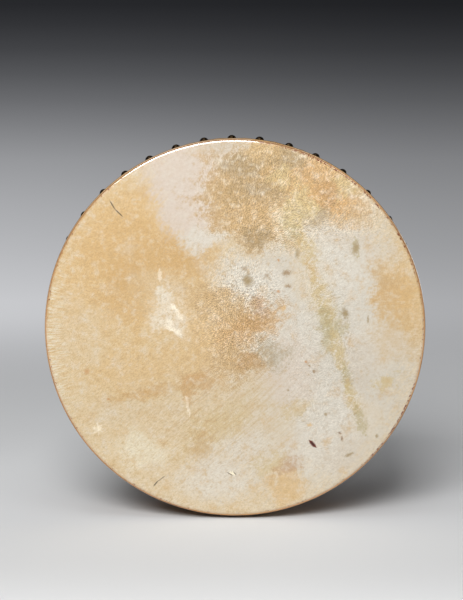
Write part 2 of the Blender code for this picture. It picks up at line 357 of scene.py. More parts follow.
def tarnish_group():
    """Clouded old metal: Cloud is where it is dull, Scratch where fine lines cross it."""
    group, taken, given = new_group(
        "tarnish",
        [("Place", "Vector", None), ("Scale", "Float", 300.0)],
        [("Cloud", "Float"), ("Scratch", "Float")],
    )
    scale = taken.outputs["Scale"]
    cloud = noise(group, taken.outputs["Place"], scale, 4.0, 0.6).outputs[0]
    group.links.new(ramp_between(group, cloud, 0.38, 0.62), given.inputs["Cloud"])
    long_way = put(
        group,
        "Mapping",
        {"Vector": taken.outputs["Place"], "Rotation": (0.4, 0.9, 0.7), "Scale": (1, 14, 1)},
    ).outputs[0]
    lines = noise(group, long_way, scale, 2.0).outputs[0]
    group.links.new(ramp_between(group, lines, 0.60, 0.68), given.inputs["Scratch"])
    return group


def drum_place_group():
    """A place told the drum's way: seen flat from the front, how far from its axis, how deep."""
    group, taken, given = new_group(
        "drum place",
        [("Place", "Vector", None), ("Axis height", "Float", AXIS.z)],
        [("Flat", "Vector"), ("Reach", "Float"), ("Depth", "Float")],
    )
    parts = put(group, "SeparateXYZ", {0: taken.outputs["Place"]})
    up = maths(group, "SUBTRACT", parts.outputs["Z"], taken.outputs["Axis height"])
    flat = put(group, "CombineXYZ", {0: parts.outputs["X"], 1: up, 2: 0.0}).outputs[0]
    group.links.new(flat, given.inputs["Flat"])
    group.links.new(vector_maths(group, "LENGTH", flat), given.inputs["Reach"])
    group.links.new(parts.outputs["Y"], given.inputs["Depth"])
    return group


BLOTCH = blotch_group()
STROKE = stroke_group()
SPECKS = speck_group()
GRAIN = grain_group()
TARNISH = tarnish_group()
DRUM_PLACE = drum_place_group()


def wood_group():
    """Wood painted by its grain, darker in the late rings and the pores, which lie lower."""
    group, taken, given = new_group(
        "wood",
        [
            ("Along", "Float", 0.0),
            ("Across", "Float", 0.0),
            ("Through", "Float", 0.0),
            ("Rings", "Float", 260.0),
            ("Early wood", "Color", colour(196, 154, 104)),
            ("Shaded wood", "Color", colour(172, 128, 82)),
            ("Late wood", "Color", colour(124, 84, 50)),
        ],
        [("Paint", "Color"), ("Height", "Float")],
    )
    inputs = {name: taken.outputs[name] for name in ("Along", "Across", "Through", "Rings")}
    grain = use(group, GRAIN, inputs)
    shade = ramp_between(group, grain.outputs["Shade"], 0.36, 0.64)
    paint = mix(group, shade, taken.outputs["Early wood"], taken.outputs["Shaded wood"])
    rings = maths(group, "MULTIPLY", grain.outputs["Rings"], 0.55)
    paint = mix(group, rings, paint, taken.outputs["Late wood"])
    pores = maths(group, "MULTIPLY", grain.outputs["Pores"], 0.60)
    paint = mix(group, pores, paint, taken.outputs["Late wood"])
    group.links.new(paint, given.inputs["Paint"])
    hollow = maths(group, "ADD", grain.outputs["Rings"], grain.outputs["Pores"])
    group.links.new(maths(group, "MULTIPLY", hollow, -1.0), given.inputs["Height"])
    return group


WOOD = wood_group()


def bar_wood_group():
    """A grip bar's wood: dark and smooth where hands hold it, with painted shade in its corners at
    the hoop and the crossing.
    """
    group, taken, given = new_group(
        "bar wood",
        [("Along", "Float", 0.0), ("Across", "Float", 0.0), ("Through", "Float", 0.0)],
        [("Paint", "Color"), ("Roughness", "Float"), ("Height", "Float")],
    )
    along, across, through = (taken.outputs[name] for name in ("Along", "Across", "Through"))
    inputs = {"Along": along, "Across": across, "Through": through, "Rings": 340.0}
    wood = use(group, WOOD, inputs)
    grip = maths(group, "ABSOLUTE", along)
    held = maths(
        group,
        "MULTIPLY",
        ramp_between(group, grip, 0.012, 0.05),
        ramp_between(group, grip, 0.15, 0.09),
    )
    place = put(group, "CombineXYZ", {0: along, 1: across, 2: through}).outputs[0]
    patches = noise(group, place, 45.0, 5.0, 0.65).outputs[0]
    dark = maths(group, "MULTIPLY", held, ramp_between(group, patches, 0.35, 0.65, 0.35, 0.85))
    paint = mix(group, dark, wood.outputs["Paint"], colour(116, 76, 44))
    # Painted shade: darker toward the hoop and beside the crossing
    ends = ramp_between(group, grip, HOOP_INSIDE - 0.012, HOOP_INSIDE)
    beside_joint = maths(group, "ABSOLUTE", maths(group, "SUBTRACT", grip, 0.0135))
    corner = ramp_between(group, beside_joint, 0.003, 0.0)
    dust = maths(group, "MAXIMUM", ends, corner)
    paint = mix(group, maths(group, "MULTIPLY", dust, 0.55), paint, colour(74, 50, 30))
    group.links.new(paint, given.inputs["Paint"])
    smooth = ramp_between(group, held, 0.0, 1.0, 0.58, 0.36)
    uneven = ramp_between(group, patches, 0.3, 0.7, -0.05, 0.07)
    group.links.new(maths(group, "ADD", smooth, uneven), given.inputs["Roughness"])
    group.links.new(wood.outputs["Height"], given.inputs["Height"])
    return group


BAR_WOOD = bar_wood_group()


# ---------------------------------------------------------------- wood and metal


def drum_place(tree):
    """Flat place seen from the front, distance from the drum's axis, and depth."""
    told = use(tree, DRUM_PLACE, {"Place": object_coordinates(tree), "Axis height": AXIS.z})
    return told.outputs["Flat"], told.outputs["Reach"], told.outputs["Depth"]


def hoop_material():
    material, tree, shader = new_material("bent hoop wood", roughness=0.5)
    flat, reach, depth = drum_place(tree)

    # The grain runs round the hoop and starts anew where its ends lap
    turned = put(
        tree,
        "VectorRotate",
        {"Vector": flat, "Angle": math.radians(180 - SCARF_ANGLE)},
        rotation_type="Z_AXIS",
    ).outputs[0]
    sides = put(tree, "SeparateXYZ", {0: turned})
    bearing = maths(tree, "ARCTAN2", sides.outputs[1], sides.outputs[0])
    through = maths(tree, "SUBTRACT", reach, HOOP_INSIDE)
    lap = maths(tree, "SUBTRACT", maths(tree, "DIVIDE", through, HOOP_WALL), 0.5)
    middle_radius = HOOP_RADIUS - HOOP_WALL / 2
    lap = maths(tree, "MULTIPLY", lap, SCARF_LENGTH / middle_radius)
    bearing = maths(tree, "WRAP", maths(tree, "SUBTRACT", bearing, lap), math.pi, -math.pi)
    along = maths(tree, "MULTIPLY", bearing, middle_radius)
    inputs = {
        "Along": along,
        "Across": depth,
        "Through": through,
        "Rings": 230.0,
        "Early wood": colour(178, 131, 82),
        "Shaded wood": colour(150, 103, 60),
        "Late wood": colour(104, 66, 36),
    }
    wood = use(tree, WOOD, inputs)
    paint = wood.outputs["Paint"]

    # Painted shade on the hoop's outside beside the skin's hem, darker patches, and paler where
    # hands have rubbed the back edge
    place = put(tree, "CombineXYZ", {0: along, 1: depth, 2: through}).outputs[0]
    patches = noise(tree, place, 28.0, 4.0, 0.6).outputs[0]
    from_hem = maths(tree, "ABSOLUTE", maths(tree, "SUBTRACT", depth, HEM))
    beside = ramp_between(tree, from_hem, 0.005, 0.0)
    outside = ramp_between(tree, reach, HOOP_RADIUS - 0.002, HOOP_RADIUS - 0.0005)
    hem_shade = maths(tree, "MULTIPLY", beside, maths(tree, "MULTIPLY", outside, 0.7))
    paint = mix(tree, hem_shade, paint, colour(66, 42, 24))
    paint = mix(tree, ramp_between(tree, patches, 0.55, 0.72, 0, 0.5), paint, colour(92, 60, 34))
    edge = ramp_between(tree, depth, HOOP_BACK - 0.0025, HOOP_BACK - 0.0006)
    worn = maths(tree, "MULTIPLY", edge, ramp_between(tree, patches, 0.40, 0.56, 0.0, 0.6))
    paint = mix(tree, worn, paint, colour(196, 156, 108))

    # Glue squeezed from the lap
    from_lap = maths(tree, "SUBTRACT", math.pi, maths(tree, "ABSOLUTE", bearing))
    seam = ramp_between(tree, from_lap, 0.006, 0.0015)
    paint = mix(tree, maths(tree, "MULTIPLY", seam, 0.75), paint, colour(58, 34, 18))
    tree.links.new(paint, shader.inputs["Base Color"])
    gloss = ramp_between(tree, patches, 0.3, 0.7, 0.42, 0.62)
    tree.links.new(gloss, shader.inputs["Roughness"])
    bump(tree, shader, wood.outputs["Height"], 0.35, 0.0002)
    return material


def bar_material(name, upright):
    material, tree, shader = new_material(name, roughness=0.5)
    parts = put(tree, "SeparateXYZ", {0: object_coordinates(tree)})
    up = maths(tree, "SUBTRACT", parts.outputs["Z"], AXIS.z)
    along, across = (up, parts.outputs["X"]) if upright else (parts.outputs["X"], up)
    wood = use(tree, BAR_WOOD, {"Along": along, "Across": across, "Through": parts.outputs["Y"]})
    tree.links.new(wood.outputs["Paint"], shader.inputs["Base Color"])
    tree.links.new(wood.outputs["Roughness"], shader.inputs["Roughness"])
    bump(tree, shader, wood.outputs["Height"], 0.35, 0.0002)
    return material


def tack_material():
    """Brown-black patina, rubbed through to gold on the middle of each dome."""
    material, tree, shader = new_material("dark brass", metallic=1.0)
    _, reach, _ = drum_place(tree)
    place = object_coordinates(tree)
    tarnish = use(tree, TARNISH, {"Place": place, "Scale": 420.0})
    spread = noise(tree, place, 14.0, 2.0).outputs[0]
    paint = mix(tree, tarnish.outputs["Cloud"], colour(58, 46, 32), colour(34, 27, 21))
    top = ramp_between(tree, reach, HEAD_RADIUS + 0.0019, HEAD_RADIUS + 0.0037)
    rubbed = maths(tree, "MULTIPLY", top, ramp_between(tree, spread, 0.35, 0.60, 0.45, 1.0))
    uneven = ramp_between(tree, tarnish.outputs["Cloud"], 0.0, 1.0, 1.0, 0.55)
    rubbed = maths(tree, "MULTIPLY", rubbed, uneven)
    paint = mix(tree, rubbed, paint, colour(150, 118, 74))
    paint = mix(
        tree, maths(tree, "MULTIPLY", tarnish.outputs["Scratch"], 0.5), paint, colour(150, 124, 84)
    )
    tree.links.new(paint, shader.inputs["Base Color"])
    rough = ramp_between(tree, tarnish.outputs["Cloud"], 0.0, 1.0, 0.26, 0.44)
    tree.links.new(rough, shader.inputs["Roughness"])
    bump(tree, shader, tarnish.outputs["Cloud"], 0.25, 0.0001)
    return material


def screw_material():
    material, tree, shader = new_material("worn screw steel", metallic=1.0)
    tarnish = use(tree, TARNISH, {"Place": object_coordinates(tree), "Scale": 700.0})
    paint = mix(tree, tarnish.outputs["Cloud"], colour(150, 146, 138), colour(98, 82, 66))
    paint = mix(
        tree, maths(tree, "MULTIPLY", tarnish.outputs["Scratch"], 0.6), paint, colour(196, 192, 184)
    )
    tree.links.new(paint, shader.inputs["Base Color"])
    rough = ramp_between(tree, tarnish.outputs["Cloud"], 0.0, 1.0, 0.30, 0.62)
    tree.links.new(rough, shader.inputs["Roughness"])
    bump(tree, shader, tarnish.outputs["Scratch"], 0.3, 0.00005)
    return material


def lap_tack_material():
    material, tree, shader = new_material("tarnished copper", metallic=1.0)
    tarnish = use(tree, TARNISH, {"Place": object_coordinates(tree), "Scale": 900.0})
    paint = mix(tree, tarnish.outputs["Cloud"], colour(176, 108, 74), colour(88, 54, 40))
    green = noise(tree, object_coordinates(tree), 500.0, 3.0).outputs[0]
    paint = mix(tree, ramp_between(tree, green, 0.60, 0.72, 0.0, 0.6), paint, colour(92, 120, 98))
    tree.links.new(paint, shader.inputs["Base Color"])
    rough = ramp_between(tree, tarnish.outputs["Cloud"], 0.0, 1.0, 0.28, 0.58)
    tree.links.new(rough, shader.inputs["Roughness"])
    bump(tree, shader, tarnish.outputs["Cloud"], 0.3, 0.00008)
    return material


# ---------------------------------------------------------------- rawhide

CREAM = colour(226, 206, 172)
PALE_HONEY = colour(227, 201, 157)
HONEY = colour(225, 186, 126)
DEEP_HONEY = colour(212, 171, 110)
STRAW = colour(214, 190, 138)
BUTTER = colour(237, 225, 196)
PALE_SCAR = colour(246, 237, 218)
ROSE_GREY = colour(224, 208, 192)
ASH = colour(212, 198, 178)
BONE = colour(216, 209, 195)
WHITE_BONE = colour(228, 221, 207)
OCHRE = colour(202, 168, 118)
GOLD_OCHRE = colour(214, 180, 126)
TAUPE = colour(168, 144, 104)
RUST = colour(194, 152, 98)
RUST_HONEY = colour(210, 168, 112)
OLIVE = colour(190, 175, 132)
GREY_OLIVE = colour(170, 156, 124)
PINK_BROWN = colour(196, 162, 130)
DARK_BROWN = colour(120, 88, 58)
BLOOD_BROWN = colour(96, 28, 12)
MARK_OLIVE = colour(144, 122, 80)
MARK_BROWN = colour(140, 112, 74)
MARK_RUST = colour(178, 130, 78)
DARK_CUT = colour(34, 14, 8)
HAIR = colour(70, 58, 40)

# Stains, broadest first. Each is its middle and half size in millimetres from the middle of
# the face (right and up, wide and high), its turn in degrees, softness, strength and paint.
STAINS = [
    # the two halves of the hide
    (-110, 0, 122, 195, 0, 0.45, 0.85, PALE_HONEY),
    (-46, -135, 95, 62, 10, 0.50, 0.60, CREAM),
    (-122, 88, 78, 92, -20, 0.50, 0.80, HONEY),
    (95, -22, 118, 152, -8, 0.35, 0.95, BONE),
    # honey flank
    (-102, 87, 68, 38, -15, 0.60, 0.60, DEEP_HONEY),
    (-135, 48, 30, 34, 0, 0.60, 0.45, DEEP_HONEY),
    (-55, 95, 30, 22, -30, 0.55, 0.50, DEEP_HONEY),
    (-150, 118, 46, 30, 45, 0.60, 0.45, HONEY),
    (-113, -44, 62, 24, 5, 0.60, 0.50, HONEY),
    (-205, 20, 26, 60, 0, 0.60, 0.40, HONEY),
    (-188, 0, 30, 34, 0, 0.60, 0.45, CREAM),
    (-92, 50, 26, 16, 10, 0.60, 0.45, CREAM),
    (-74, 20, 20, 20, -35, 0.60, 0.80, PALE_SCAR),
    (-72, 1, 18, 10, -20, 0.60, 0.70, PALE_SCAR),
    (-24, -4, 44, 46, 15, 0.60, 0.70, HONEY),
    (4, -84, 52, 34, 30, 0.60, 0.55, PALE_HONEY),
    (-88, 40, 11, 6, 10, 0.60, 0.70, PALE_SCAR),
    # pale wedge at the upper left
    (-59, 187, 50, 36, -10, 0.35, 0.95, ROSE_GREY),
    (-56, 152, 34, 36, 15, 0.40, 0.95, ROSE_GREY),
    (-40, 214, 48, 15, 8, 0.40, 0.80, ROSE_GREY),
    (2, 218, 48, 12, 0, 0.40, 0.85, ASH),
    (-40, 122, 20, 22, 0, 0.50, 0.80, ROSE_GREY),
    (-32, 113, 28, 13, 12, 0.50, 0.80, WHITE_BONE),
    # cloudy stain at the top
    (26, 166, 62, 44, -12, 0.35, 0.95, OCHRE),
    (60, 190, 40, 26, -10, 0.50, 0.80, OCHRE),
    (-13, 148, 22, 26, 0, 0.45, 0.80, OCHRE),
    (24, 126, 30, 28, 0, 0.45, 0.85, OCHRE),
    (100, 178, 48, 28, -28, 0.35, 0.90, RUST_HONEY),
    (124, 153, 38, 22, -32, 0.40, 0.85, RUST_HONEY),
    (118, 134, 34, 9, -5, 0.55, 0.60, OCHRE),
    (38, 214, 28, 15, -8, 0.45, 0.85, GOLD_OCHRE),
    (11, 195, 26, 15, 5, 0.50, 0.75, TAUPE),
    (38, 169, 22, 15, 20, 0.60, 0.65, TAUPE),
    (3, 163, 16, 13, 0, 0.60, 0.60, TAUPE),
    (27, 115, 16, 12, 10, 0.40, 0.85, TAUPE),
    (65, 203, 19, 15, 0, 0.50, 0.80, TAUPE),
    (56, 186, 13, 10, 0, 0.50, 0.75, STRAW),
    (106, 166, 12, 14, 0, 0.60, 0.75, RUST),
    (92, 142, 15, 14, -20, 0.50, 0.75, TAUPE),
    (136, 172, 18, 12, -35, 0.50, 0.80, STRAW),
    (80, 153, 9, 22, 8, 0.50, 0.85, STRAW),
    (57, 142, 13, 13, 0, 0.55, 0.80, CREAM),
    (70, 128, 9, 20, 0, 0.55, 0.70, OLIVE),
    (91, 127, 10, 8, 0, 0.50, 0.70, TAUPE),
    # bone-white side
    (123, 75, 44, 50, 0, 0.50, 0.85, WHITE_BONE),
    (168, -13, 34, 32, 0, 0.50, 0.80, WHITE_BONE),
    (114, -99, 52, 46, 0, 0.50, 0.80, WHITE_BONE),
    (105, -147, 52, 28, 10, 0.50, 0.70, WHITE_BONE),
    (17, 62, 42, 24, -10, 0.50, 0.80, WHITE_BONE),
    (66, -5, 32, 42, 0, 0.60, 0.60, WHITE_BONE),
    (196, 50, 30, 42, 5, 0.50, 0.80, HONEY),
    (188, 38, 20, 26, -20, 0.55, 0.50, DEEP_HONEY),
    (214, 40, 20, 58, 4, 0.50, 0.70, HONEY),
    (172, 66, 14, 14, 0, 0.60, 0.50, OCHRE),
    (216, 95, 15, 60, 14, 0.50, 0.60, PALE_HONEY),
    (190, -8, 26, 30, 0, 0.60, 0.50, GOLD_OCHRE),
    (62, -50, 30, 42, 15, 0.60, 0.60, ROSE_GREY),
    (88, 60, 20, 34, 10, 0.60, 0.45, CREAM),
    (150, -42, 20, 30, 0, 0.60, 0.55, ASH),
    (138, -150, 30, 18, 25, 0.60, 0.50, ASH),
    (45, -118, 34, 22, 35, 0.60, 0.55, CREAM),
    (122, 108, 30, 15, -20, 0.60, 0.50, ASH),
    (78, -92, 16, 12, 20, 0.60, 0.50, STRAW),
    (156, -100, 14, 22, 15, 0.60, 0.45, CREAM),
    # spine, down the right of the hide
    (114, 4, 15, 26, 12, 0.60, 0.75, OLIVE),
    (180, -65, 11, 7, 0, 0.50, 0.75, STRAW),
    # brown heart
    (17, 5, 40, 22, 22, 0.50, 0.85, RUST_HONEY),
    (-16, 32, 38, 13, -18, 0.60, 0.60, OCHRE),
    (18, 8, 16, 12, 0, 0.60, 0.65, RUST),
    (8, -38, 32, 17, 0, 0.55, 0.75, OCHRE),
    (18, -38, 15, 9, 15, 0.60, 0.60, RUST),
    (47, -28, 18, 15, -20, 0.60, 0.60, GREY_OLIVE),
    (30, 29, 10, 8, -30, 0.60, 0.70, PINK_BROWN),
    # folds and patches low on the hide
    (-131, -80, 26, 6, 9, 0.60, 0.80, DEEP_HONEY),
    (-94, -74, 26, 7, 2, 0.60, 0.70, DEEP_HONEY),
    (-46, -60, 21, 9, 12, 0.60, 0.75, RUST_HONEY),
    (-57, -79, 9, 12, 0, 0.60, 0.80, RUST_HONEY),
    (-134, -98, 34, 16, 8, 0.50, 0.80, CREAM),
    (-116, -146, 28, 19, -12, 0.45, 0.95, BUTTER),
    (-22, -117, 44, 18, 36, 0.60, 0.50, STRAW),
    (-40, -147, 12, 17, 0, 0.60, 0.65, OCHRE),
    (-22, -182, 46, 24, 5, 0.50, 0.80, WHITE_BONE),
    (10, -144, 32, 20, 0, 0.60, 0.60, WHITE_BONE),
    (62, -190, 15, 28, 8, 0.50, 0.70, HONEY),
    (44, -160, 14, 12, 0, 0.60, 0.60, STRAW),
    (64, -166, 14, 12, 0, 0.55, 0.75, PINK_BROWN),
    (-70, -200, 34, 12, -15, 0.60, 0.50, CREAM),
]

# The darker line of the spine, a streak beside it and two low folds: ends in millimetres,
# width, strength and paint
SPINE = [
    (60, 158, 79, 118, 16, 0.80, STRAW),
    (70, 126, 78, 100, 9, 0.80, OLIVE),
    (80, 118, 93, 69, 15, 0.80, STRAW),
    (84, 90, 99, 52, 9, 0.70, GOLD_OCHRE),
    (93, 69, 117, 0, 16, 0.80, STRAW),
    (102, 30, 119, -12, 11, 0.80, OLIVE),
    (117, 2, 132, -56, 12, 0.80, STRAW),
    (130, -40, 140, -82, 9, 0.80, OLIVE),
    (134, -60, 148, -104, 11, 0.80, STRAW),
    (145, -90, 158, -130, 10, 0.75, OLIVE),
    (143, 112, 145, 84, 7, 0.70, OLIVE),
    (130, 27, 134, 12, 6, 0.80, GREY_OLIVE),
    (-140, -79, -80, -72, 7, 0.80, DEEP_HONEY),
    (-66, -64, -28, -50, 9, 0.70, RUST_HONEY),
]

# Small marks in the terms of the stains, with edges that stray less
MARKS = [
    (15, 60, 6, 7, 20, 0.35, 0.80, MARK_OLIVE),
    (61, 69, 6, 3.5, 10, 0.38, 0.80, MARK_BROWN),
    (52, 84, 1.8, 1.8, 0, 0.35, 0.80, MARK_RUST),
    (64, 53, 3.5, 2.5, 0, 0.38, 0.80, MARK_BROWN),
    (52, 47, 2.2, 1.8, 0, 0.38, 0.80, MARK_RUST),
    (38, 66, 3.0, 2.5, 0, 0.38, 0.60, MARK_BROWN),
    (11, 74, 3.0, 2.5, 0, 0.38, 0.60, MARK_BROWN),
    (74, 92, 3.0, 6.0, 0, 0.38, 0.70, MARK_OLIVE),
    (144, 98, 4.0, 9.0, -10, 0.38, 0.70, MARK_OLIVE),
    (132, 20, 4.0, 7.0, 15, 0.38, 0.80, MARK_OLIVE),
    (159, 13, 1.8, 5.5, 0, 0.38, 0.70, MARK_OLIVE),
    (58, 26, 3.5, 3.5, 0, 0.38, 0.70, OCHRE),
    (22, 40, 2.0, 2.0, 0, 0.38, 0.70, MARK_BROWN),
    (85, -38, 1.8, 1.8, 0, 0.35, 0.85, MARK_RUST),
    (89, -43, 1.3, 1.3, 0, 0.35, 0.80, MARK_BROWN),
    (95, -50, 1.8, 2.2, 0, 0.35, 0.85, MARK_BROWN),
    (109, -102, 2.0, 2.2, 0, 0.35, 0.80, MARK_OLIVE),
    (90, -115, 3.5, 2.2, 0, 0.38, 0.80, OCHRE),
    (64, -73, 1.6, 1.4, 0, 0.35, 0.80, MARK_OLIVE),
    (126, -125, 2.6, 1.2, -15, 0.35, 0.80, DARK_BROWN),
    (129, -132, 1.4, 2.6, 0, 0.35, 0.80, DARK_BROWN),
    (171, -129, 2.0, 2.6, 0, 0.38, 0.80, MARK_OLIVE),
    (138, -152, 6.0, 1.8, 24, 0.38, 0.80, MARK_OLIVE),
    (-178, -50, 3.0, 3.0, 0, 0.38, 0.60, MARK_RUST),
    (-152, -84, 1.6, 1.2, 0, 0.38, 0.80, MARK_RUST),
    (-166, -120, 4.5, 4.0, 0, 0.70, 0.40, BUTTER),
    (-3, -175, 4.0, 2.4, -25, 0.35, 0.90, BUTTER),
]

# Rubbed scars: ends in millimetres, width, strength and paint
SCARS = [
    (-78, 32, -70, 24, 4.0, 0.55, PALE_SCAR),
    (-72, 26, -62, 12, 4.2, 0.50, PALE_SCAR),
    (-84, 6, -74, 0, 4.6, 0.45, PALE_SCAR),
    (-78, 2, -64, -4, 3.8, 0.50, PALE_SCAR),
    (-82, 14, -74, 6, 5.0, 0.35, PALE_SCAR),
    (-90, 74, -89, 58, 4.2, 0.40, PALE_SCAR),
    (-84.5, 73, -84, 60, 2.2, 0.45, RUST),
    (-58, -90, -54.5, -106, 2.0, 0.50, PALE_SCAR),
    (-60, -78, -56, -92, 3.0, 0.35, PALE_SCAR),
    (-172, -127, -160, -114, 2.4, 0.35, PALE_SCAR),
    (-175, -118, -158, -123, 2.0, 0.35, PALE_SCAR),
    (-166, -111, -164, -130, 1.8, 0.35, PALE_SCAR),
    (-171, -123, -164, -119, 1.8, 0.45, TAUPE),
]

# Hairs and cuts, in the same terms
STROKES = [
    (-148.5, 155, -142, 144, 1.0, 0.95, HAIR),
    (-142.5, 145, -133, 135.5, 1.0, 0.95, HAIR),
    (-99, -191, -93, -184, 1.0, 0.95, HAIR),
    (-95, -186, -84.5, -178, 0.8, 0.70, HAIR),
    (89.5, -134, 98, -143, 3.2, 1.00, BLOOD_BROWN),
    (91.5, -136, 96, -141, 1.4, 0.80, DARK_CUT),
    (-10, -173.5, -2, -178, 0.8, 0.80, HAIR),
    (-2, -173, 1.5, -177, 1.0, 0.80, HAIR),
]


def stray(tree, place, pattern, reach):
    """Place moved about by a pattern's colour, by up to half of reach each way."""
    centred = vector_maths(tree, "SUBTRACT", pattern, (0.5, 0.5, 0.5))
    moved = put(tree, "VectorMath", {0: centred, "Scale": reach}, operation="SCALE").outputs[0]
    return vector_maths(tree, "ADD", place, moved)


def paint_blotches(tree, paint, place, fray, blotches):
    for right, up, half_wide, half_high, turn, softness, strength, shade in blotches:
        inputs = {
            "Place": place,
            "Middle": (right / 1000, up / 1000, 0),
            "Half size": (half_wide / 1000, half_high / 1000, 1),
            "Turn": math.radians(turn),
            "Softness": softness,
            "Fray": fray,
        }
        mask = use(tree, BLOTCH, inputs).outputs[0]
        paint = mix(tree, maths(tree, "MULTIPLY", mask, strength), paint, shade)
    return paint


def paint_strokes(tree, paint, place, strokes, shown=1.0):
    for right, up, to_right, to_up, width, strength, shade in strokes:
        inputs = {
            "Place": place,
            "From": (right / 1000, up / 1000, 0),
            "To": (to_right / 1000, to_up / 1000, 0),
            "Width": width / 1000,
        }
        mask = maths(tree, "MULTIPLY", use(tree, STROKE, inputs).outputs[0], shown)
        paint = mix(tree, maths(tree, "MULTIPLY", mask, strength), paint, shade)
    return paint


def lined(tree, place, turn, along, across):
    """Place scaled unevenly, for a pattern of fine lines that rise by some degrees."""
    inputs = {"Vector": place, "Angle": math.radians(-turn)}
    turned = put(tree, "VectorRotate", inputs, rotation_type="Z_AXIS").outputs[0]
    return vector_maths(tree, "MULTIPLY", turned, (along, across, 1))


def zone(tree, place, right, up, half_wide, half_high, softness=0.6):
    inputs = {
        "Place": place,
        "Middle": (right / 1000, up / 1000, 0),
        "Half size": (half_wide / 1000, half_high / 1000, 1),
        "Softness": softness,
    }
    return use(tree, BLOTCH, inputs).outputs[0]


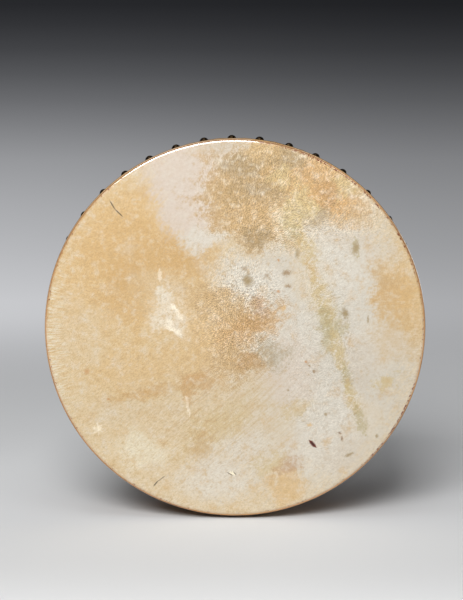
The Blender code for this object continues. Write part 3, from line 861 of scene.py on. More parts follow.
def rawhide_material():
    material, tree, shader = new_material("rawhide")
    flat, reach, depth = drum_place(tree)

    # Stains with cloudy, grainy edges that let the hide show through
    clouds = noise(tree, flat, 24.0, 4.0, 0.65).outputs["Color"]
    grain = noise(tree, flat, 190.0, 4.0, 0.8).outputs["Color"]
    place = stray(tree, stray(tree, flat, clouds, 0.060), grain, 0.030)
    cloud = noise(tree, flat, 34.0, 5.0, 0.7).outputs[0]
    middling = noise(tree, flat, 105.0, 4.0, 0.65).outputs[0]
    mottle = noise(tree, flat, 330.0, 4.0, 0.75).outputs[0]
    dust = noise(tree, flat, 850.0, 2.0, 0.6).outputs[0]
    streaks = noise(tree, lined(tree, flat, 52, 45, 190), 1.0, 4.0, 0.7).outputs[0]
    fine = maths(tree, "ADD", maths(tree, "MULTIPLY", mottle, 0.6), dust)
    ragged = maths(tree, "ADD", fine, maths(tree, "MULTIPLY", streaks, 1.4))
    ragged = maths(tree, "ADD", ragged, maths(tree, "MULTIPLY", middling, 1.0))
    ragged = maths(tree, "SUBTRACT", ragged, 2.06)
    paint = paint_blotches(tree, CREAM, place, ragged, STAINS)
    near = stray(tree, flat, grain, 0.022)
    broken = ramp_between(tree, ragged, 0.25, -0.15, 0.15, 1.0)
    paint = paint_strokes(tree, paint, near, SPINE, broken)

    # Cloudy and grainy shade of the whole hide
    paint = mix(tree, ramp_between(tree, cloud, 0.50, 0.72, 0.0, 0.35), paint, WHITE_BONE)
    paint = mix(tree, ramp_between(tree, cloud, 0.47, 0.30, 0.0, 0.50), paint, DEEP_HONEY)
    wedge = zone(tree, place, -54, 172, 60, 62, 0.4)
    pale = maths(tree, "MULTIPLY", zone(tree, place, 112, -40, 100, 150, 0.4), 0.85)
    smooth_hide = maths(tree, "MULTIPLY", maths(tree, "MAXIMUM", wedge, pale), 0.60)
    rough_hide = maths(tree, "SUBTRACT", 1.0, smooth_hide)
    paint = mix(tree, ramp_between(tree, middling, 0.50, 0.66, 0.0, 0.30), paint, WHITE_BONE)
    low = maths(tree, "MULTIPLY", ramp_between(tree, middling, 0.48, 0.32, 0.0, 0.50), rough_hide)
    paint = mix(tree, low, paint, GOLD_OCHRE)
    paint = mix(tree, ramp_between(tree, mottle, 0.52, 0.66, 0.0, 0.16), paint, WHITE_BONE)
    low = maths(tree, "MULTIPLY", ramp_between(tree, mottle, 0.48, 0.32, 0.0, 0.50), rough_hide)
    paint = mix(tree, low, paint, OCHRE)

    # Fine lines: fibres all over, ribs low in the middle with painted shade in their troughs,
    # radial wrinkles at the rim with painted highlight on their ridges and painted shade in their
    # hollows
    fibres = noise(tree, lined(tree, flat, 40, 190, 900), 1.0, 3.0).outputs[0]
    ribs = noise(tree, lined(tree, flat, 40, 34, 330), 1.0, 1.0).outputs[0]
    across = put(tree, "SeparateXYZ", {0: flat})
    bearing = maths(tree, "ARCTAN2", across.outputs[1], across.outputs[0])
    spokes_at = put(
        tree,
        "CombineXYZ",
        {0: maths(tree, "MULTIPLY", bearing, 150.0), 1: maths(tree, "MULTIPLY", reach, 60.0)},
    ).outputs[0]
    spokes = noise(tree, spokes_at, 1.0, 2.0).outputs[0]
    rib_zone = zone(tree, flat, -30, -90, 90, 75, 0.9)
    near_rim = ramp_between(tree, reach, HEAD_RADIUS - 0.034, HEAD_RADIUS - 0.006)
    spoke_zone = maths(tree, "MULTIPLY", near_rim, zone(tree, flat, -225, -15, 60, 80))
    spoke_zone = maths(tree, "ADD", spoke_zone, maths(tree, "MULTIPLY", near_rim, 0.12))
    # Painted highlight on the raised wrinkles and painted shade in the sunk ones
    raised = ramp_between(tree, spokes, 0.48, 0.62, 0.0, 0.85)
    wrinkle_highlight = maths(tree, "MULTIPLY", raised, spoke_zone)
    sunk = ramp_between(tree, spokes, 0.48, 0.32, 0.0, 0.50)
    wrinkle_shade = maths(tree, "MULTIPLY", sunk, spoke_zone)
    paint = mix(tree, wrinkle_highlight, paint, BUTTER)
    paint = mix(tree, wrinkle_shade, paint, RUST_HONEY)
    # Painted shade in the rib troughs
    rib = maths(tree, "MULTIPLY", ramp_between(tree, ribs, 0.54, 0.34, 0.0, 0.40), rib_zone)
    paint = mix(tree, rib, paint, OCHRE)
    low = maths(tree, "MULTIPLY", ramp_between(tree, fibres, 0.48, 0.30, 0.0, 0.35), rough_hide)
    paint = mix(tree, low, paint, OCHRE)

    # Where hair was thick the grain is strong and full of follicles
    crown = zone(tree, place, 70, 165, 100, 60, 0.4)
    hairy = maths(tree, "MAXIMUM", crown, zone(tree, place, 8, 15, 46, 62, 0.5))
    spine = maths(tree, "MULTIPLY", zone(tree, place, 110, -30, 40, 130, 0.5), 0.4)
    hairy = maths(tree, "MAXIMUM", hairy, spine)
    inputs = {"Place": stray(tree, flat, grain, 0.006), "Scale": 260.0, "Size": 0.42, "Share": 0.4}
    dots = use(tree, SPECKS, inputs).outputs[0]
    thick = maths(tree, "MULTIPLY", hairy, ramp_between(tree, cloud, 0.60, 0.42, 0.25, 0.75))
    shown = maths(tree, "ADD", maths(tree, "MULTIPLY", thick, 0.8), 0.10)
    paint = mix(tree, maths(tree, "MULTIPLY", dots, shown), paint, colour(148, 122, 82))
    grit = maths(tree, "MULTIPLY", middling, 0.25)
    grit = maths(tree, "ADD", grit, maths(tree, "MULTIPLY", mottle, 0.30))
    grit = maths(tree, "ADD", grit, maths(tree, "MULTIPLY", dust, 1.10))
    grit = maths(tree, "ADD", grit, maths(tree, "MULTIPLY", fibres, 0.45))
    grit = maths(tree, "SUBTRACT", grit, 1.05)
    coarse = maths(tree, "MULTIPLY", hairy, 1.7)
    coarse = maths(tree, "ADD", coarse, maths(tree, "MULTIPLY", rough_hide, 0.45))
    tone = maths(tree, "ADD", maths(tree, "MULTIPLY", grit, coarse), 0.715)
    tone = maths(tree, "ADD", tone, maths(tree, "MULTIPLY", crown, 0.06))
    # Painted light: the lower face is painted a little brighter
    low_hide = ramp_between(tree, across.outputs[1], -0.08, -0.20, 0.0, 0.05)
    tone = maths(tree, "ADD", tone, low_hide)
    paint = put(tree, "VectorMath", {0: paint, "Scale": tone}, operation="SCALE").outputs[0]

    # Marks, scratches and hairs
    close = stray(tree, flat, grain, 0.005)
    dusty = ramp_between(tree, dust, 0.40, 0.60, 0.6, -0.2)
    slightly = maths(tree, "ADD", maths(tree, "MULTIPLY", ragged, 0.5), dusty)
    paint = paint_blotches(tree, paint, close, slightly, MARKS)
    rubbed = ramp_between(tree, dust, 0.40, 0.56, 0.45, 1.0)
    paint = paint_strokes(tree, paint, stray(tree, flat, grain, 0.009), SCARS, rubbed)
    paint = paint_strokes(tree, paint, stray(tree, flat, grain, 0.0012), STROKES)

    # Rim: honey where the skin starts to turn, painted shade where it has turned, red-brown flecks
    turning = ramp_between(tree, reach, HEAD_RADIUS - 0.0060, HEAD_RADIUS - 0.0022)
    paint = mix(tree, maths(tree, "MULTIPLY", turning, 0.40), paint, colour(190, 146, 88))
    # Painted shade: the outermost turn of the edge is painted dark
    turned = ramp_between(tree, reach, HEAD_RADIUS - 0.0010, HEAD_RADIUS - 0.0001)
    paint = mix(tree, maths(tree, "MULTIPLY", turned, 0.80), paint, colour(112, 78, 42))
    from_ring = maths(tree, "ABSOLUTE", maths(tree, "SUBTRACT", reach, HEAD_RADIUS - 0.0034))
    ring = ramp_between(tree, from_ring, 0.0014, 0.0004)
    flecked_at = put(
        tree,
        "CombineXYZ",
        {0: maths(tree, "MULTIPLY", bearing, 75.0), 1: maths(tree, "MULTIPLY", reach, 300.0)},
    ).outputs[0]
    flecks = noise(tree, flecked_at, 1.0, 3.0, 0.7).outputs[0]
    worst = zone(tree, place, 195, -125, 60, 60, 0.4)
    worst = maths(tree, "MAXIMUM", worst, zone(tree, place, 130, 190, 120, 60, 0.4))
    worst = maths(tree, "MAXIMUM", worst, zone(tree, place, 215, 90, 25, 30, 0.4))
    flecks = maths(tree, "ADD", flecks, maths(tree, "MULTIPLY", worst, 0.08))
    flecks = ramp_between(tree, flecks, 0.58, 0.64)
    paint = mix(tree, maths(tree, "MULTIPLY", ring, flecks), paint, colour(116, 58, 34))

    # Side: browned by age, creased from the face to the hem with painted shade in the creases and
    # pits and painted highlight on the folds and knobs, grimy along the tacks
    around = object_coordinates(tree)
    aged = noise(tree, around, 38.0, 5.0, 0.7).outputs[0]
    pitted = noise(tree, around, 330.0, 3.0, 0.75).outputs[0]
    creased_at = vector_maths(tree, "MULTIPLY", around, (190, 14, 190))
    creases = noise(tree, creased_at, 1.0, 3.0, 0.6).outputs[0]
    age = ramp_between(tree, aged, 0.34, 0.66)
    brown = mix(tree, age, colour(136, 98, 56), colour(194, 152, 98))
    # Painted shade in the pits and painted highlight on the knobs
    brown = mix(tree, ramp_between(tree, pitted, 0.50, 0.34, 0.0, 0.6), brown, colour(84, 56, 30))
    knob_highlight = ramp_between(tree, pitted, 0.54, 0.70, 0.0, 0.45)
    brown = mix(tree, knob_highlight, brown, colour(206, 170, 118))
    # Painted shade in the creases and painted highlight on the folds
    brown = mix(tree, ramp_between(tree, creases, 0.46, 0.34, 0.0, 0.6), brown, colour(86, 58, 32))
    fold_highlight = ramp_between(tree, creases, 0.56, 0.68, 0.0, 0.35)
    brown = mix(tree, fold_highlight, brown, colour(204, 164, 108))
    from_tacks = maths(tree, "ABSOLUTE", maths(tree, "SUBTRACT", depth, TACK_ROW))
    beside_tacks = ramp_between(tree, from_tacks, 0.009, 0.002)
    patchy = ramp_between(tree, aged, 0.60, 0.42, 0.15, 0.6)
    grimy = maths(tree, "MULTIPLY", beside_tacks, patchy)
    brown = mix(tree, grimy, brown, colour(70, 48, 28))
    side = ramp_between(tree, depth, FACE + 0.002, FACE + 0.008)
    paint = mix(tree, maths(tree, "MULTIPLY", side, 0.92), paint, brown)
    behind = ramp_between(tree, depth, HEM - 0.012, HEM)
    paint = mix(tree, maths(tree, "MULTIPLY", behind, 0.45), paint, DARK_BROWN)
    tree.links.new(paint, shader.inputs["Base Color"])

    # Handled smooth at the rim, matt on the face
    handled = ramp_between(tree, reach, HEAD_RADIUS - 0.0052, HEAD_RADIUS - 0.0034)
    front = ramp_between(tree, depth, FACE + 0.008, FACE + 0.004)
    handled = maths(tree, "MULTIPLY", handled, front)
    tree.links.new(ramp_between(tree, handled, 0, 1, 0.56, 0.24), shader.inputs["Roughness"])
    tree.links.new(maths(tree, "MULTIPLY", handled, 0.9), shader.inputs["Coat Weight"])
    shader.inputs["Coat Roughness"].default_value = 0.10
    shader.inputs["Coat IOR"].default_value = 2.0

    # Relief
    height = maths(tree, "MULTIPLY", mottle, 0.35)
    height = maths(tree, "ADD", height, maths(tree, "MULTIPLY", fibres, 0.20))
    wrinkled = maths(tree, "MULTIPLY", spokes, spoke_zone)
    height = maths(tree, "ADD", height, maths(tree, "MULTIPLY", wrinkled, 1.2))
    ribbed = maths(tree, "MULTIPLY", ribs, rib_zone)
    height = maths(tree, "ADD", height, maths(tree, "MULTIPLY", ribbed, 0.5))
    creased = maths(tree, "ADD", creases, maths(tree, "MULTIPLY", pitted, 0.5))
    creased = maths(tree, "MULTIPLY", creased, side)
    height = maths(tree, "ADD", height, maths(tree, "MULTIPLY", creased, 1.6))
    bump(tree, shader, height, 0.6, 0.0003)
    return material


# ---------------------------------------------------------------- modelling helpers


def start_piece():
    if bpy.context.mode != "OBJECT":
        bpy.ops.object.mode_set(mode="OBJECT")
    bpy.ops.object.select_all(action="DESELECT")


def finish_piece(obj, name, body, material, angle=40):
    """Settles a piece: its place goes into its mesh, and it rides and stands for its node."""
    start_piece()
    obj.select_set(True)
    bpy.context.view_layer.objects.active = obj
    bpy.ops.object.transform_apply(location=True, rotation=True, scale=True)
    bpy.ops.object.shade_smooth_by_angle(angle=math.radians(angle))
    obj.name = obj.data.name = name
    obj.data.materials.clear()
    obj.data.materials.append(material)
    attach(obj, "root")
    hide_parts(body)
    return obj


def apply_all(obj):
    bpy.context.view_layer.objects.active = obj
    for modifier in list(obj.modifiers):
        bpy.ops.object.modifier_apply(modifier=modifier.name)


def pick(obj, test):
    """In edit mode, selects only the vertices that pass the test."""
    form = bmesh.from_edit_mesh(obj.data)
    for corner in form.verts:
        corner.select = test(corner.co)
    form.select_flush_mode()
    bmesh.update_edit_mesh(obj.data)


def draw_out(rings, centre, axis):
    """Extrudes the selected open edge through rings of (radius, distance along the axis)."""
    for (old_radius, old_at), (radius, at) in zip(rings, rings[1:]):
        step = axis * (at - old_at)
        bpy.ops.mesh.extrude_edges_move(TRANSFORM_OT_translate={"value": step})
        scale = radius / old_radius
        glow_brighter_left = [1 if along else scale for along in axis]
        bpy.ops.transform.resize(value=glow_brighter_left, center_override=centre + axis * at)


def pull(obj, test, step, reach):
    """Moves the vertices that pass the test, and drags those within reach along with them."""
    pick(obj, test)
    bpy.ops.transform.translate(
        value=step,
        use_proportional_edit=True,
        proportional_edit_falloff="SMOOTH",
        proportional_size=reach,
    )


def out_from_axis(at):
    """Direction from the drum's axis to a point, square to the axis."""
    return Vector((at.x, 0, at.z - AXIS.z)).normalized()


def from_axis(at):
    return math.hypot(at.x, at.z - AXIS.z)


def tip_of(node, outwards):
    """The top of a CAD tack's dome: its point farthest out, or farthest in."""
    places = [corner.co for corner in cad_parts[node].data.vertices]
    return (max if outwards else min)(places, key=from_axis)


def model_skin(material, tack_tips):
    start_piece()
    first = (HEAD_RADIUS - EDGE_ROUND) / FACE_RINGS
    bpy.ops.mesh.primitive_circle_add(
        vertices=SKIN_SEGMENTS,
        radius=first,
        fill_type="TRIFAN",
        location=(0, FACE, AXIS.z),
        rotation=(math.pi / 2, 0, 0),
    )
    skin = bpy.context.object
    bpy.ops.object.transform_apply(location=True, rotation=True, scale=True)
    bpy.ops.object.mode_set(mode="EDIT")
    bpy.ops.mesh.select_mode(type="VERT")
    pick(skin, lambda at: from_axis(at) > first / 2)
    rings = [(first * number, FACE) for number in range(1, FACE_RINGS + 1)]
    for step in range(1, EDGE_STEPS + 1):
        turn = math.radians(90 * step / EDGE_STEPS)
        radius = HEAD_RADIUS - EDGE_ROUND + EDGE_ROUND * math.sin(turn)
        rings.append((radius, FACE + EDGE_ROUND * (1 - math.cos(turn))))
    for step in range(1, SIDE_RINGS + 1):
        y = FACE + EDGE_ROUND + (HEM - FACE - EDGE_ROUND) * step / SIDE_RINGS
        rings.append((HEAD_RADIUS, y))
    draw_out(rings, Vector((0, 0, AXIS.z)), Vector((0, 1, 0)))

    # Each tack presses the skin in. Between two, the skin stands out and its hem strays forward
    wander = random.Random(5)
    for tip, following in zip(tack_tips, tack_tips[1:] + tack_tips[:1]):
        seat = tip - out_from_axis(tip) * TACK_HEIGHT
        inwards = -out_from_axis(tip) * DIMPLE
        pull(skin, lambda at: (at - seat).length < 0.0035, inwards, 0.006)
        between = out_from_axis((tip + following) / 2)
        bulge = Vector((0, tip.y + 0.004, AXIS.z)) + between * HEAD_RADIUS
        gather = between * GATHER * wander.uniform(0.3, 1.0)
        pull(skin, lambda at: (at - bulge).length < 0.0050, gather, 0.009)
        hem = Vector((0, HEM, AXIS.z)) + between * HEAD_RADIUS
        creep = Vector((0, -HEM_WANDER * wander.random(), 0))
        pull(skin, lambda at: (at - hem).length < 0.0045, creep, 0.008)

    bpy.ops.mesh.select_all(action="SELECT")
    bpy.ops.mesh.normals_make_consistent(inside=False)
    bpy.ops.object.mode_set(mode="OBJECT")
    wall = skin.modifiers.new("thickness", "SOLIDIFY")
    wall.thickness = SKIN_THICKNESS
    wall.offset = -1
    apply_all(skin)
    return finish_piece(skin, "rawhide_head", "skin_head", material, CREASE_ANGLE)


def turned_piece(name, sides, rings):
    """A piece of round section, drawn down along Z from its top ring to a closed point."""
    start_piece()
    radius, height = rings[0]
    bpy.ops.mesh.primitive_circle_add(
        vertices=sides, radius=radius, fill_type="TRIFAN", location=(0, 0, height)
    )
    piece = bpy.context.object
    piece.name = name
    bpy.ops.object.transform_apply(location=True, rotation=True, scale=True)
    bpy.ops.object.mode_set(mode="EDIT")
    bpy.ops.mesh.select_mode(type="VERT")
    pick(piece, lambda at: math.hypot(at.x, at.y) > radius / 2)
    draw_out(rings, Vector((0, 0, 0)), Vector((0, 0, 1)))
    bpy.ops.mesh.merge(type="CENTER")
    bpy.ops.mesh.select_all(action="SELECT")
    bpy.ops.mesh.normals_make_consistent(inside=False)
    bpy.ops.object.mode_set(mode="OBJECT")
    return piece


def dome_rings(half_width, height, steps):
    """Rings of a domed head of this size, from near its top to its edge."""
    radius = (half_width**2 + height**2) / (2 * height)
    edge = math.acos((radius - height) / radius)
    rings = []
    for step in range(1, steps + 1):
        angle = edge * step / steps
        rings.append((radius * math.sin(angle), height - radius + radius * math.cos(angle)))
    return rings


def copy_to(pattern, place, outwards, roll):
    """A copy of a piece with its own mesh, set at a place with its Z along a direction."""
    start_piece()
    pattern.select_set(True)
    bpy.context.view_layer.objects.active = pattern
    bpy.ops.object.duplicate()
    copy = bpy.context.object
    turn = outwards.to_track_quat("Z", "Y").to_matrix().to_4x4()
    copy.matrix_world = Matrix.Translation(place) @ turn @ Matrix.Rotation(roll, 4, "Z")
    return copy


def put_away(obj):
    start_piece()
    obj.select_set(True)
    bpy.ops.object.delete()


def cut_with(obj, cutter, operation="DIFFERENCE"):
    modifier = obj.modifiers.new(cutter.name, "BOOLEAN")
    modifier.operation = operation
    modifier.solver = "EXACT"
    modifier.object = cutter
    apply_all(obj)


def model_tacks(material, tack_tips):
    rim = TACK_RADIUS - 0.0002
    rings = [
        *dome_rings(rim, TACK_HEIGHT, 7),
        (TACK_RADIUS, 0.0001),
        (TACK_RADIUS, -0.0002),
        (TACK_RADIUS - 0.0004, -0.0003),
        (0.0009, 0.0),
        (0.0009, -0.0055),
        (0.0002, -0.0085),
    ]
    pattern = turned_piece("tack_pattern", 28, rings)
    lean = random.Random(3)
    for number, tip in enumerate(tack_tips, start=1):
        outwards = out_from_axis(tip)
        leaning = outwards + Vector(
            (lean.uniform(-0.03, 0.03), lean.uniform(-0.04, 0.04), lean.uniform(-0.03, 0.03))
        )
        seat = tip - outwards * TACK_HEIGHT
        tack = copy_to(pattern, seat, leaning.normalized(), lean.uniform(0, math.tau))
        node = f"tack_{number:02d}"
        finish_piece(tack, f"domed_{node}", node, material)
    put_away(pattern)


def scarf_bearing(share):
    """Angle of the scarf at a share of the wall, 0 at its inner face and 1 at its outer."""
    return math.radians(SCARF_ANGLE) + (share - 0.5) * SCARF_LENGTH / (HOOP_RADIUS - HOOP_WALL / 2)


def scarf_point(share, y):
    radius = HOOP_INSIDE + share * HOOP_WALL
    angle = scarf_bearing(share)
    return Vector((radius * math.cos(angle), y, AXIS.z + radius * math.sin(angle)))


def scarf_sheet():
    """A thin sheet as long as the hoop is deep that winds through the wall."""
    start_piece()
    shares = [-0.12 + 1.24 * step / SCARF_STEPS for step in range(SCARF_STEPS + 1)]
    front, back = HOOP_FRONT - 0.001, HOOP_BACK + 0.001
    bpy.ops.mesh.primitive_plane_add(size=1)
    sheet = bpy.context.object
    bpy.ops.object.mode_set(mode="EDIT")
    bpy.ops.mesh.select_mode(type="VERT")
    form = bmesh.from_edit_mesh(sheet.data)
    ends = sorted(form.verts, key=lambda corner: (corner.co.x, corner.co.y))
    targets = [
        scarf_point(shares[0], front),
        scarf_point(shares[0], back),
        scarf_point(shares[1], front),
        scarf_point(shares[1], back),
    ]
    moves = [(tuple(corner.co), target) for corner, target in zip(ends, targets)]
    for old, target in moves:
        pick(sheet, lambda at: (at - Vector(old)).length < 1e-5)
        bpy.ops.transform.translate(value=target - Vector(old))
    last = [targets[2], targets[3]]
    pick(sheet, lambda at: min((at - end).length for end in last) < 1e-5)
    for old, new in zip(shares[1:], shares[2:]):
        step = scarf_point(new, 0) - scarf_point(old, 0)
        bpy.ops.mesh.extrude_edges_move(TRANSFORM_OT_translate={"value": step})
    bpy.ops.mesh.select_all(action="SELECT")
    bpy.ops.mesh.normals_make_consistent(inside=False)
    bpy.ops.object.mode_set(mode="OBJECT")
    wall = sheet.modifiers.new("thickness", "SOLIDIFY")
    wall.thickness = GLUE_LINE
    wall.offset = 0
    apply_all(sheet)
    return sheet


def round_corner(obj, x, y, width, steps):
    pick(obj, lambda at: abs(at.x - x) < 1e-5 and abs(at.y - y) < 1e-5)
    bpy.ops.mesh.bevel(offset=width, offset_type="OFFSET", segments=steps, affect="VERTICES")


def model_hoop(material, screw_places):
    start_piece()
    bpy.ops.mesh.primitive_plane_add(size=1, location=(HOOP_RADIUS - HOOP_WALL / 2, 0, AXIS.z))
    hoop = bpy.context.object
    hoop.scale = (HOOP_WALL, HOOP_BACK - HOOP_FRONT, 1)
    bpy.ops.object.transform_apply(location=True, rotation=True, scale=True)
    bpy.ops.object.mode_set(mode="EDIT")
    bpy.ops.mesh.select_mode(type="VERT")
    round_corner(hoop, HOOP_RADIUS, HOOP_FRONT, BEARING_ROUND, 6)
    round_corner(hoop, HOOP_INSIDE, HOOP_FRONT, BACK_ROUND, 3)
    round_corner(hoop, HOOP_RADIUS, HOOP_BACK, BACK_ROUND, 5)
    round_corner(hoop, HOOP_INSIDE, HOOP_BACK, BACK_ROUND, 5)
    bpy.ops.mesh.select_all(action="SELECT")
    bpy.ops.mesh.delete(type="ONLY_FACE")
    bpy.ops.mesh.select_all(action="SELECT")
    bpy.ops.mesh.spin(
        steps=HOOP_SEGMENTS, angle=math.tau, center=(0, 0, AXIS.z), axis=(0, 1, 0)
    )
    bpy.ops.mesh.select_all(action="SELECT")
    bpy.ops.mesh.remove_doubles(threshold=1e-5)
    bpy.ops.mesh.normals_make_consistent(inside=False)
    bpy.ops.object.mode_set(mode="OBJECT")

    sheet = scarf_sheet()
    cut_with(hoop, sheet)
    put_away(sheet)
    room = 0.0002
    head = SCREW_HEAD + room
    shank = SCREW_SHANK + room
    rings = [(0.001, 0.002), (head, 0.002), (head, -0.0002), (shank, -0.0021), (shank, -0.014)]
    pattern = turned_piece("screw_hole", 32, [*rings, (0.0004, -0.0142)])
    for place in screw_places:
        hole = copy_to(pattern, place, out_from_axis(place), 0.0)
        cut_with(hoop, hole)
        put_away(hole)
    put_away(pattern)
    return finish_piece(hoop, "bent_hoop", "hoop", material, 35)


def box_cutter(middle, sizes):
    start_piece()
    bpy.ops.mesh.primitive_cube_add(size=1, location=middle)
    cutter = bpy.context.object
    cutter.scale = sizes
    bpy.ops.object.transform_apply(location=True, rotation=True, scale=True)
    return cutter


def model_bar(name, node, material):
    """A bar drawn out along its length from its rounded section, then trimmed and notched."""
    low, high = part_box(node)
    upright = high.z - low.z > high.x - low.x
    width = high.x - low.x if upright else high.z - low.z
    thickness = high.y - low.y
    middle = (low.y + high.y) / 2
    reach = HOOP_RADIUS
    start_piece()
    bpy.ops.mesh.primitive_plane_add(size=1, location=(0, middle, AXIS.z - reach))
    bar = bpy.context.object
    bar.scale = (width, thickness, 1)
    bpy.ops.object.transform_apply(location=True, rotation=True, scale=True)
    bpy.ops.object.mode_set(mode="EDIT")
    bpy.ops.mesh.select_mode(type="VERT")
    bpy.ops.mesh.select_all(action="SELECT")
    bpy.ops.mesh.bevel(offset=BAR_ROUND, offset_type="OFFSET", segments=5, affect="VERTICES")
    bpy.ops.mesh.select_all(action="SELECT")
    bpy.ops.mesh.select_mode(type="FACE")
    step = 2 * reach / BAR_STEPS
    for _ in range(BAR_STEPS):
        bpy.ops.mesh.extrude_region_move(TRANSFORM_OT_translate={"value": (0, 0, step)})
    bpy.ops.mesh.select_mode(type="VERT")
    bpy.ops.mesh.select_all(action="SELECT")
    bpy.ops.mesh.normals_make_consistent(inside=False)
    for side in (-1, 1):
        waist = AXIS.z + side * 5 * step
        pick(bar, lambda at: abs(at.z - waist) < step / 2)
        bpy.ops.transform.resize(
            value=(BAR_WAIST, BAR_WAIST, 1),
            center_override=(0, middle, waist),
            use_proportional_edit=True,
            proportional_edit_falloff="SMOOTH",
            proportional_size=3.6 * step,
        )
    bpy.ops.mesh.select_all(action="SELECT")
    if not upright:
        bpy.ops.transform.rotate(
            value=math.pi / 2, orient_axis="Y", center_override=(0, middle, AXIS.z)
        )
    bpy.ops.object.mode_set(mode="OBJECT")

    start_piece()
    bpy.ops.mesh.primitive_cylinder_add(
        vertices=HOOP_SEGMENTS,
        radius=HOOP_INSIDE - BAR_FIT,
        depth=0.08,
        location=(0, middle, AXIS.z),
        rotation=(math.pi / 2, 0, 0),
    )
    inside = bpy.context.object
    cut_with(bar, inside, "INTERSECT")
    put_away(inside)
    room = width + 2 * BAR_FIT
    half = thickness / 2 + BAR_FIT / 2
    towards = -1 if upright else 1  # the upright bar is notched in front
    notch = box_cutter(
        (0, middle + towards * (thickness / 2 + 0.001 - (half + 0.001) / 2), AXIS.z),
        (room if not upright else width + 0.01, half + 0.001, room if upright else width + 0.01),
    )
    cut_with(bar, notch)
    put_away(notch)
    return finish_piece(bar, name, node, material, 35)


def screw_place(node):
    low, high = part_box(node)
    outwards = out_from_axis((low + high) / 2)
    return Vector((0, (low.y + high.y) / 2, AXIS.z)) + outwards * (HOOP_RADIUS - SCREW_SINK)


def model_screws(material, nodes):
    rings = [
        (0.0012, 0.0),
        (SCREW_HEAD - 0.0002, 0.0),
        (SCREW_HEAD, -0.0002),
        (SCREW_SHANK, -0.0020),
        (SCREW_SHANK, 0.006 - SCREW_LENGTH),
        (0.0002, 0.0001 - SCREW_LENGTH),
    ]
    pattern = turned_piece("screw_pattern", 32, rings)
    slot = box_cutter((0, 0, 0.0005 - SLOT_DEPTH / 2), (SLOT_WIDTH, 0.009, SLOT_DEPTH + 0.001))
    cut_with(pattern, slot)
    put_away(slot)
    turn = random.Random(8)
    for node in nodes:
        place = screw_place(node)
        screw = copy_to(pattern, place, out_from_axis(place), turn.uniform(-0.9, 0.9))
        finish_piece(screw, f"wood_{node}", node, material, 35)
    put_away(pattern)


def model_lap_tacks(material, nodes):
    rings = [
        *dome_rings(LAP_TACK_RADIUS - 0.0001, LAP_TACK_HEIGHT, 4),
        (LAP_TACK_RADIUS, 0.0),
        (LAP_TACK_RADIUS - 0.0002, -0.0003),
        (0.0007, -0.0002),
        (0.0007, -0.0045),
        (0.0002, -0.0065),
    ]
    pattern = turned_piece("lap_tack_pattern", 20, rings)
    for number, node in enumerate(nodes):
        outer = "outer" in node
        tip = tip_of(node, outer)
        outwards = out_from_axis(tip) * (1 if outer else -1)
        tack = copy_to(pattern, tip - outwards * LAP_TACK_HEIGHT, outwards, 0.7 * number)
        finish_piece(tack, f"small_{node}", node, material)
    put_away(pattern)


# ---------------------------------------------------------------- stage


def sweep_material():
    """A pale floor that fades into a glowing backdrop. Painted light: the floor is painted lighter
    toward the front and behind the drum, and the backdrop glows in greys that darken upward and are
    brighter on the left.
    """
    material, tree, shader = new_material("pale sweep", roughness=0.6)
    place = object_coordinates(tree)
    parts = put(tree, "SeparateXYZ", {0: place})
    grain = noise(tree, place, 3.0, 2.0).outputs[0]
    # Painted light: the floor is painted lighter toward the front and behind the drum
    back = ramp_between(tree, parts.outputs["Y"], -0.4, 0.3)
    front = ramp_between(tree, parts.outputs["Y"], -0.20, -0.60)
    light_grey = mix(tree, back, colour(200, 201, 202), colour(215, 216, 217))
    light_grey = mix(tree, front, light_grey, colour(236, 237, 238))
    dark_grey = mix(tree, back, colour(196, 197, 198), colour(211, 212, 213))
    dark_grey = mix(tree, front, dark_grey, colour(232, 233, 234))
    pale = mix(tree, grain, dark_grey, light_grey)
    beyond = ramp_between(tree, parts.outputs["Y"], -0.8, -1.8)
    pale = mix(tree, beyond, pale, colour(128, 129, 131))
    far = ramp_between(tree, parts.outputs["Y"], 0.35, 2.0)
    tone = mix(tree, far, pale, (0, 0, 0, 1))
    tree.links.new(tone, shader.inputs["Base Color"])
    # Painted light: the backdrop glows in greys that darken upward, brighter on the left
    ramp = put(tree, "ValToRGB", {0: maths(tree, "DIVIDE", parts.outputs["Z"], GRADE_HEIGHT)})
    stops = ramp.color_ramp.elements
    stops[0].position, stops[0].color = 0.0, colour(200, 201, 204)
    stops[1].position, stops[1].color = 1.0, colour(24, 24, 26)
    for height, grey in GREYS_BY_HEIGHT:
        stops.new(height / GRADE_HEIGHT).color = colour(grey - 1, grey, grey + 3)
    glow_brighter_left = ramp_between(tree, parts.outputs["X"], -0.7, 0.7, 1.0, 0.70)
    dimmed = put(
        tree, "VectorMath", {0: ramp.outputs[0], "Scale": glow_brighter_left}, operation="SCALE"
    ).outputs[0]
    glow = mix(tree, far, (0, 0, 0, 1), dimmed)
    tree.links.new(glow, shader.inputs["Emission Color"])
    shader.inputs["Emission Strength"].default_value = 1.0
    shader.inputs["Specular IOR Level"].default_value = 0.0
    return material


def build_stage():
    start_piece()
    bpy.ops.mesh.primitive_plane_add(size=1, location=(0, SWEEP_MIDDLE, 0))
    sweep = bpy.context.object
    sweep.scale = (SWEEP_WIDTH, SWEEP_LENGTH, 1)
    bpy.ops.object.transform_apply(location=True, rotation=True, scale=True)
    bpy.ops.object.mode_set(mode="EDIT")
    bpy.ops.mesh.select_mode(type="VERT")
    pick(sweep, lambda at: at.y > 0)
    bpy.ops.mesh.extrude_edges_move(TRANSFORM_OT_translate={"value": (0, 0, SWEEP_HEIGHT)})
    bpy.ops.object.mode_set(mode="OBJECT")
    sweep.name = "sweep"
    sweep.data.materials.append(sweep_material())


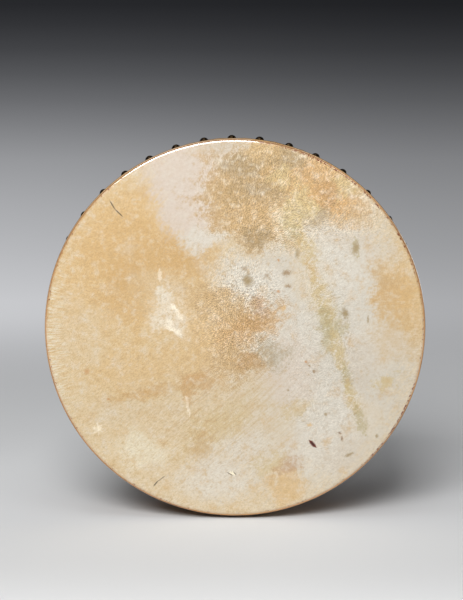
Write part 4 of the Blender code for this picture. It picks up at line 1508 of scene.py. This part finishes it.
def softbox(name, place, target, size, power, tint=(1, 1, 1)):
    light = bpy.data.lights.new(name, "AREA")
    light.shape = "RECTANGLE"
    light.size, light.size_y = size
    light.energy = power
    light.color = tint
    obj = bpy.data.objects.new(name, light)
    bpy.context.scene.collection.objects.link(obj)
    obj.location = place
    obj.rotation_euler = (Vector(target) - Vector(place)).to_track_quat("-Z", "Y").to_euler()


def build_lights():
    softbox("key", (-0.62, -2.40, 2.15), (0, 0, 0.2), (1.8, 1.5), 118)
    softbox("overhead", (-0.20, -0.50, 1.90), (0, 0, 0.1), (1.2, 0.8), 8)
    softbox("edge", (1.30, -1.50, 1.90), (0, 0, 0.4), (0.6, 0.6), 2.5)
    softbox("back", (1.50, 1.30, 0.55), (0, 0, 0.25), (0.8, 0.7), 3.5)
    world = bpy.data.worlds.new("studio air")
    world.use_nodes = True
    world.node_tree.nodes["Background"].inputs["Color"].default_value = (0.8, 0.82, 0.85, 1)
    world.node_tree.nodes["Background"].inputs["Strength"].default_value = 0.105
    bpy.context.scene.world = world


def build_camera():
    data = bpy.data.cameras.new("camera")
    data.lens = LENS
    data.clip_start = 0.05
    camera = bpy.data.objects.new("camera", data)
    bpy.context.scene.collection.objects.link(camera)
    rise = math.radians(CAMERA_RISE)
    away = Vector((0, -math.cos(rise), math.sin(rise))) * CAMERA_DISTANCE
    camera.location = Vector((0, FACE, AXIS.z)) + away
    camera.rotation_euler = (
        math.radians(90 + CAMERA_PITCH), 0, math.radians(-CAMERA_YAW)
    )
    bpy.context.scene.camera = camera


def main():
    tacks = sorted(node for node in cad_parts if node.startswith("tack_"))
    lap_tacks = sorted(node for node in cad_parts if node.startswith("lap_tack_"))
    screws = sorted(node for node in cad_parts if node.startswith("bar_screw_"))
    tack_tips = [tip_of(node, outwards=True) for node in tacks]
    model_skin(rawhide_material(), tack_tips)
    model_tacks(tack_material(), tack_tips)
    model_hoop(hoop_material(), [screw_place(node) for node in screws])
    model_bar("across_bar", "grip_bar_across", bar_material("across bar wood", False))
    model_bar("upright_bar", "grip_bar_upright", bar_material("upright bar wood", True))
    model_screws(screw_material(), screws)
    model_lap_tacks(lap_tack_material(), lap_tacks)
    build_stage()
    build_lights()
    build_camera()
    bpy.context.scene.view_settings.view_transform = "Standard"


main()
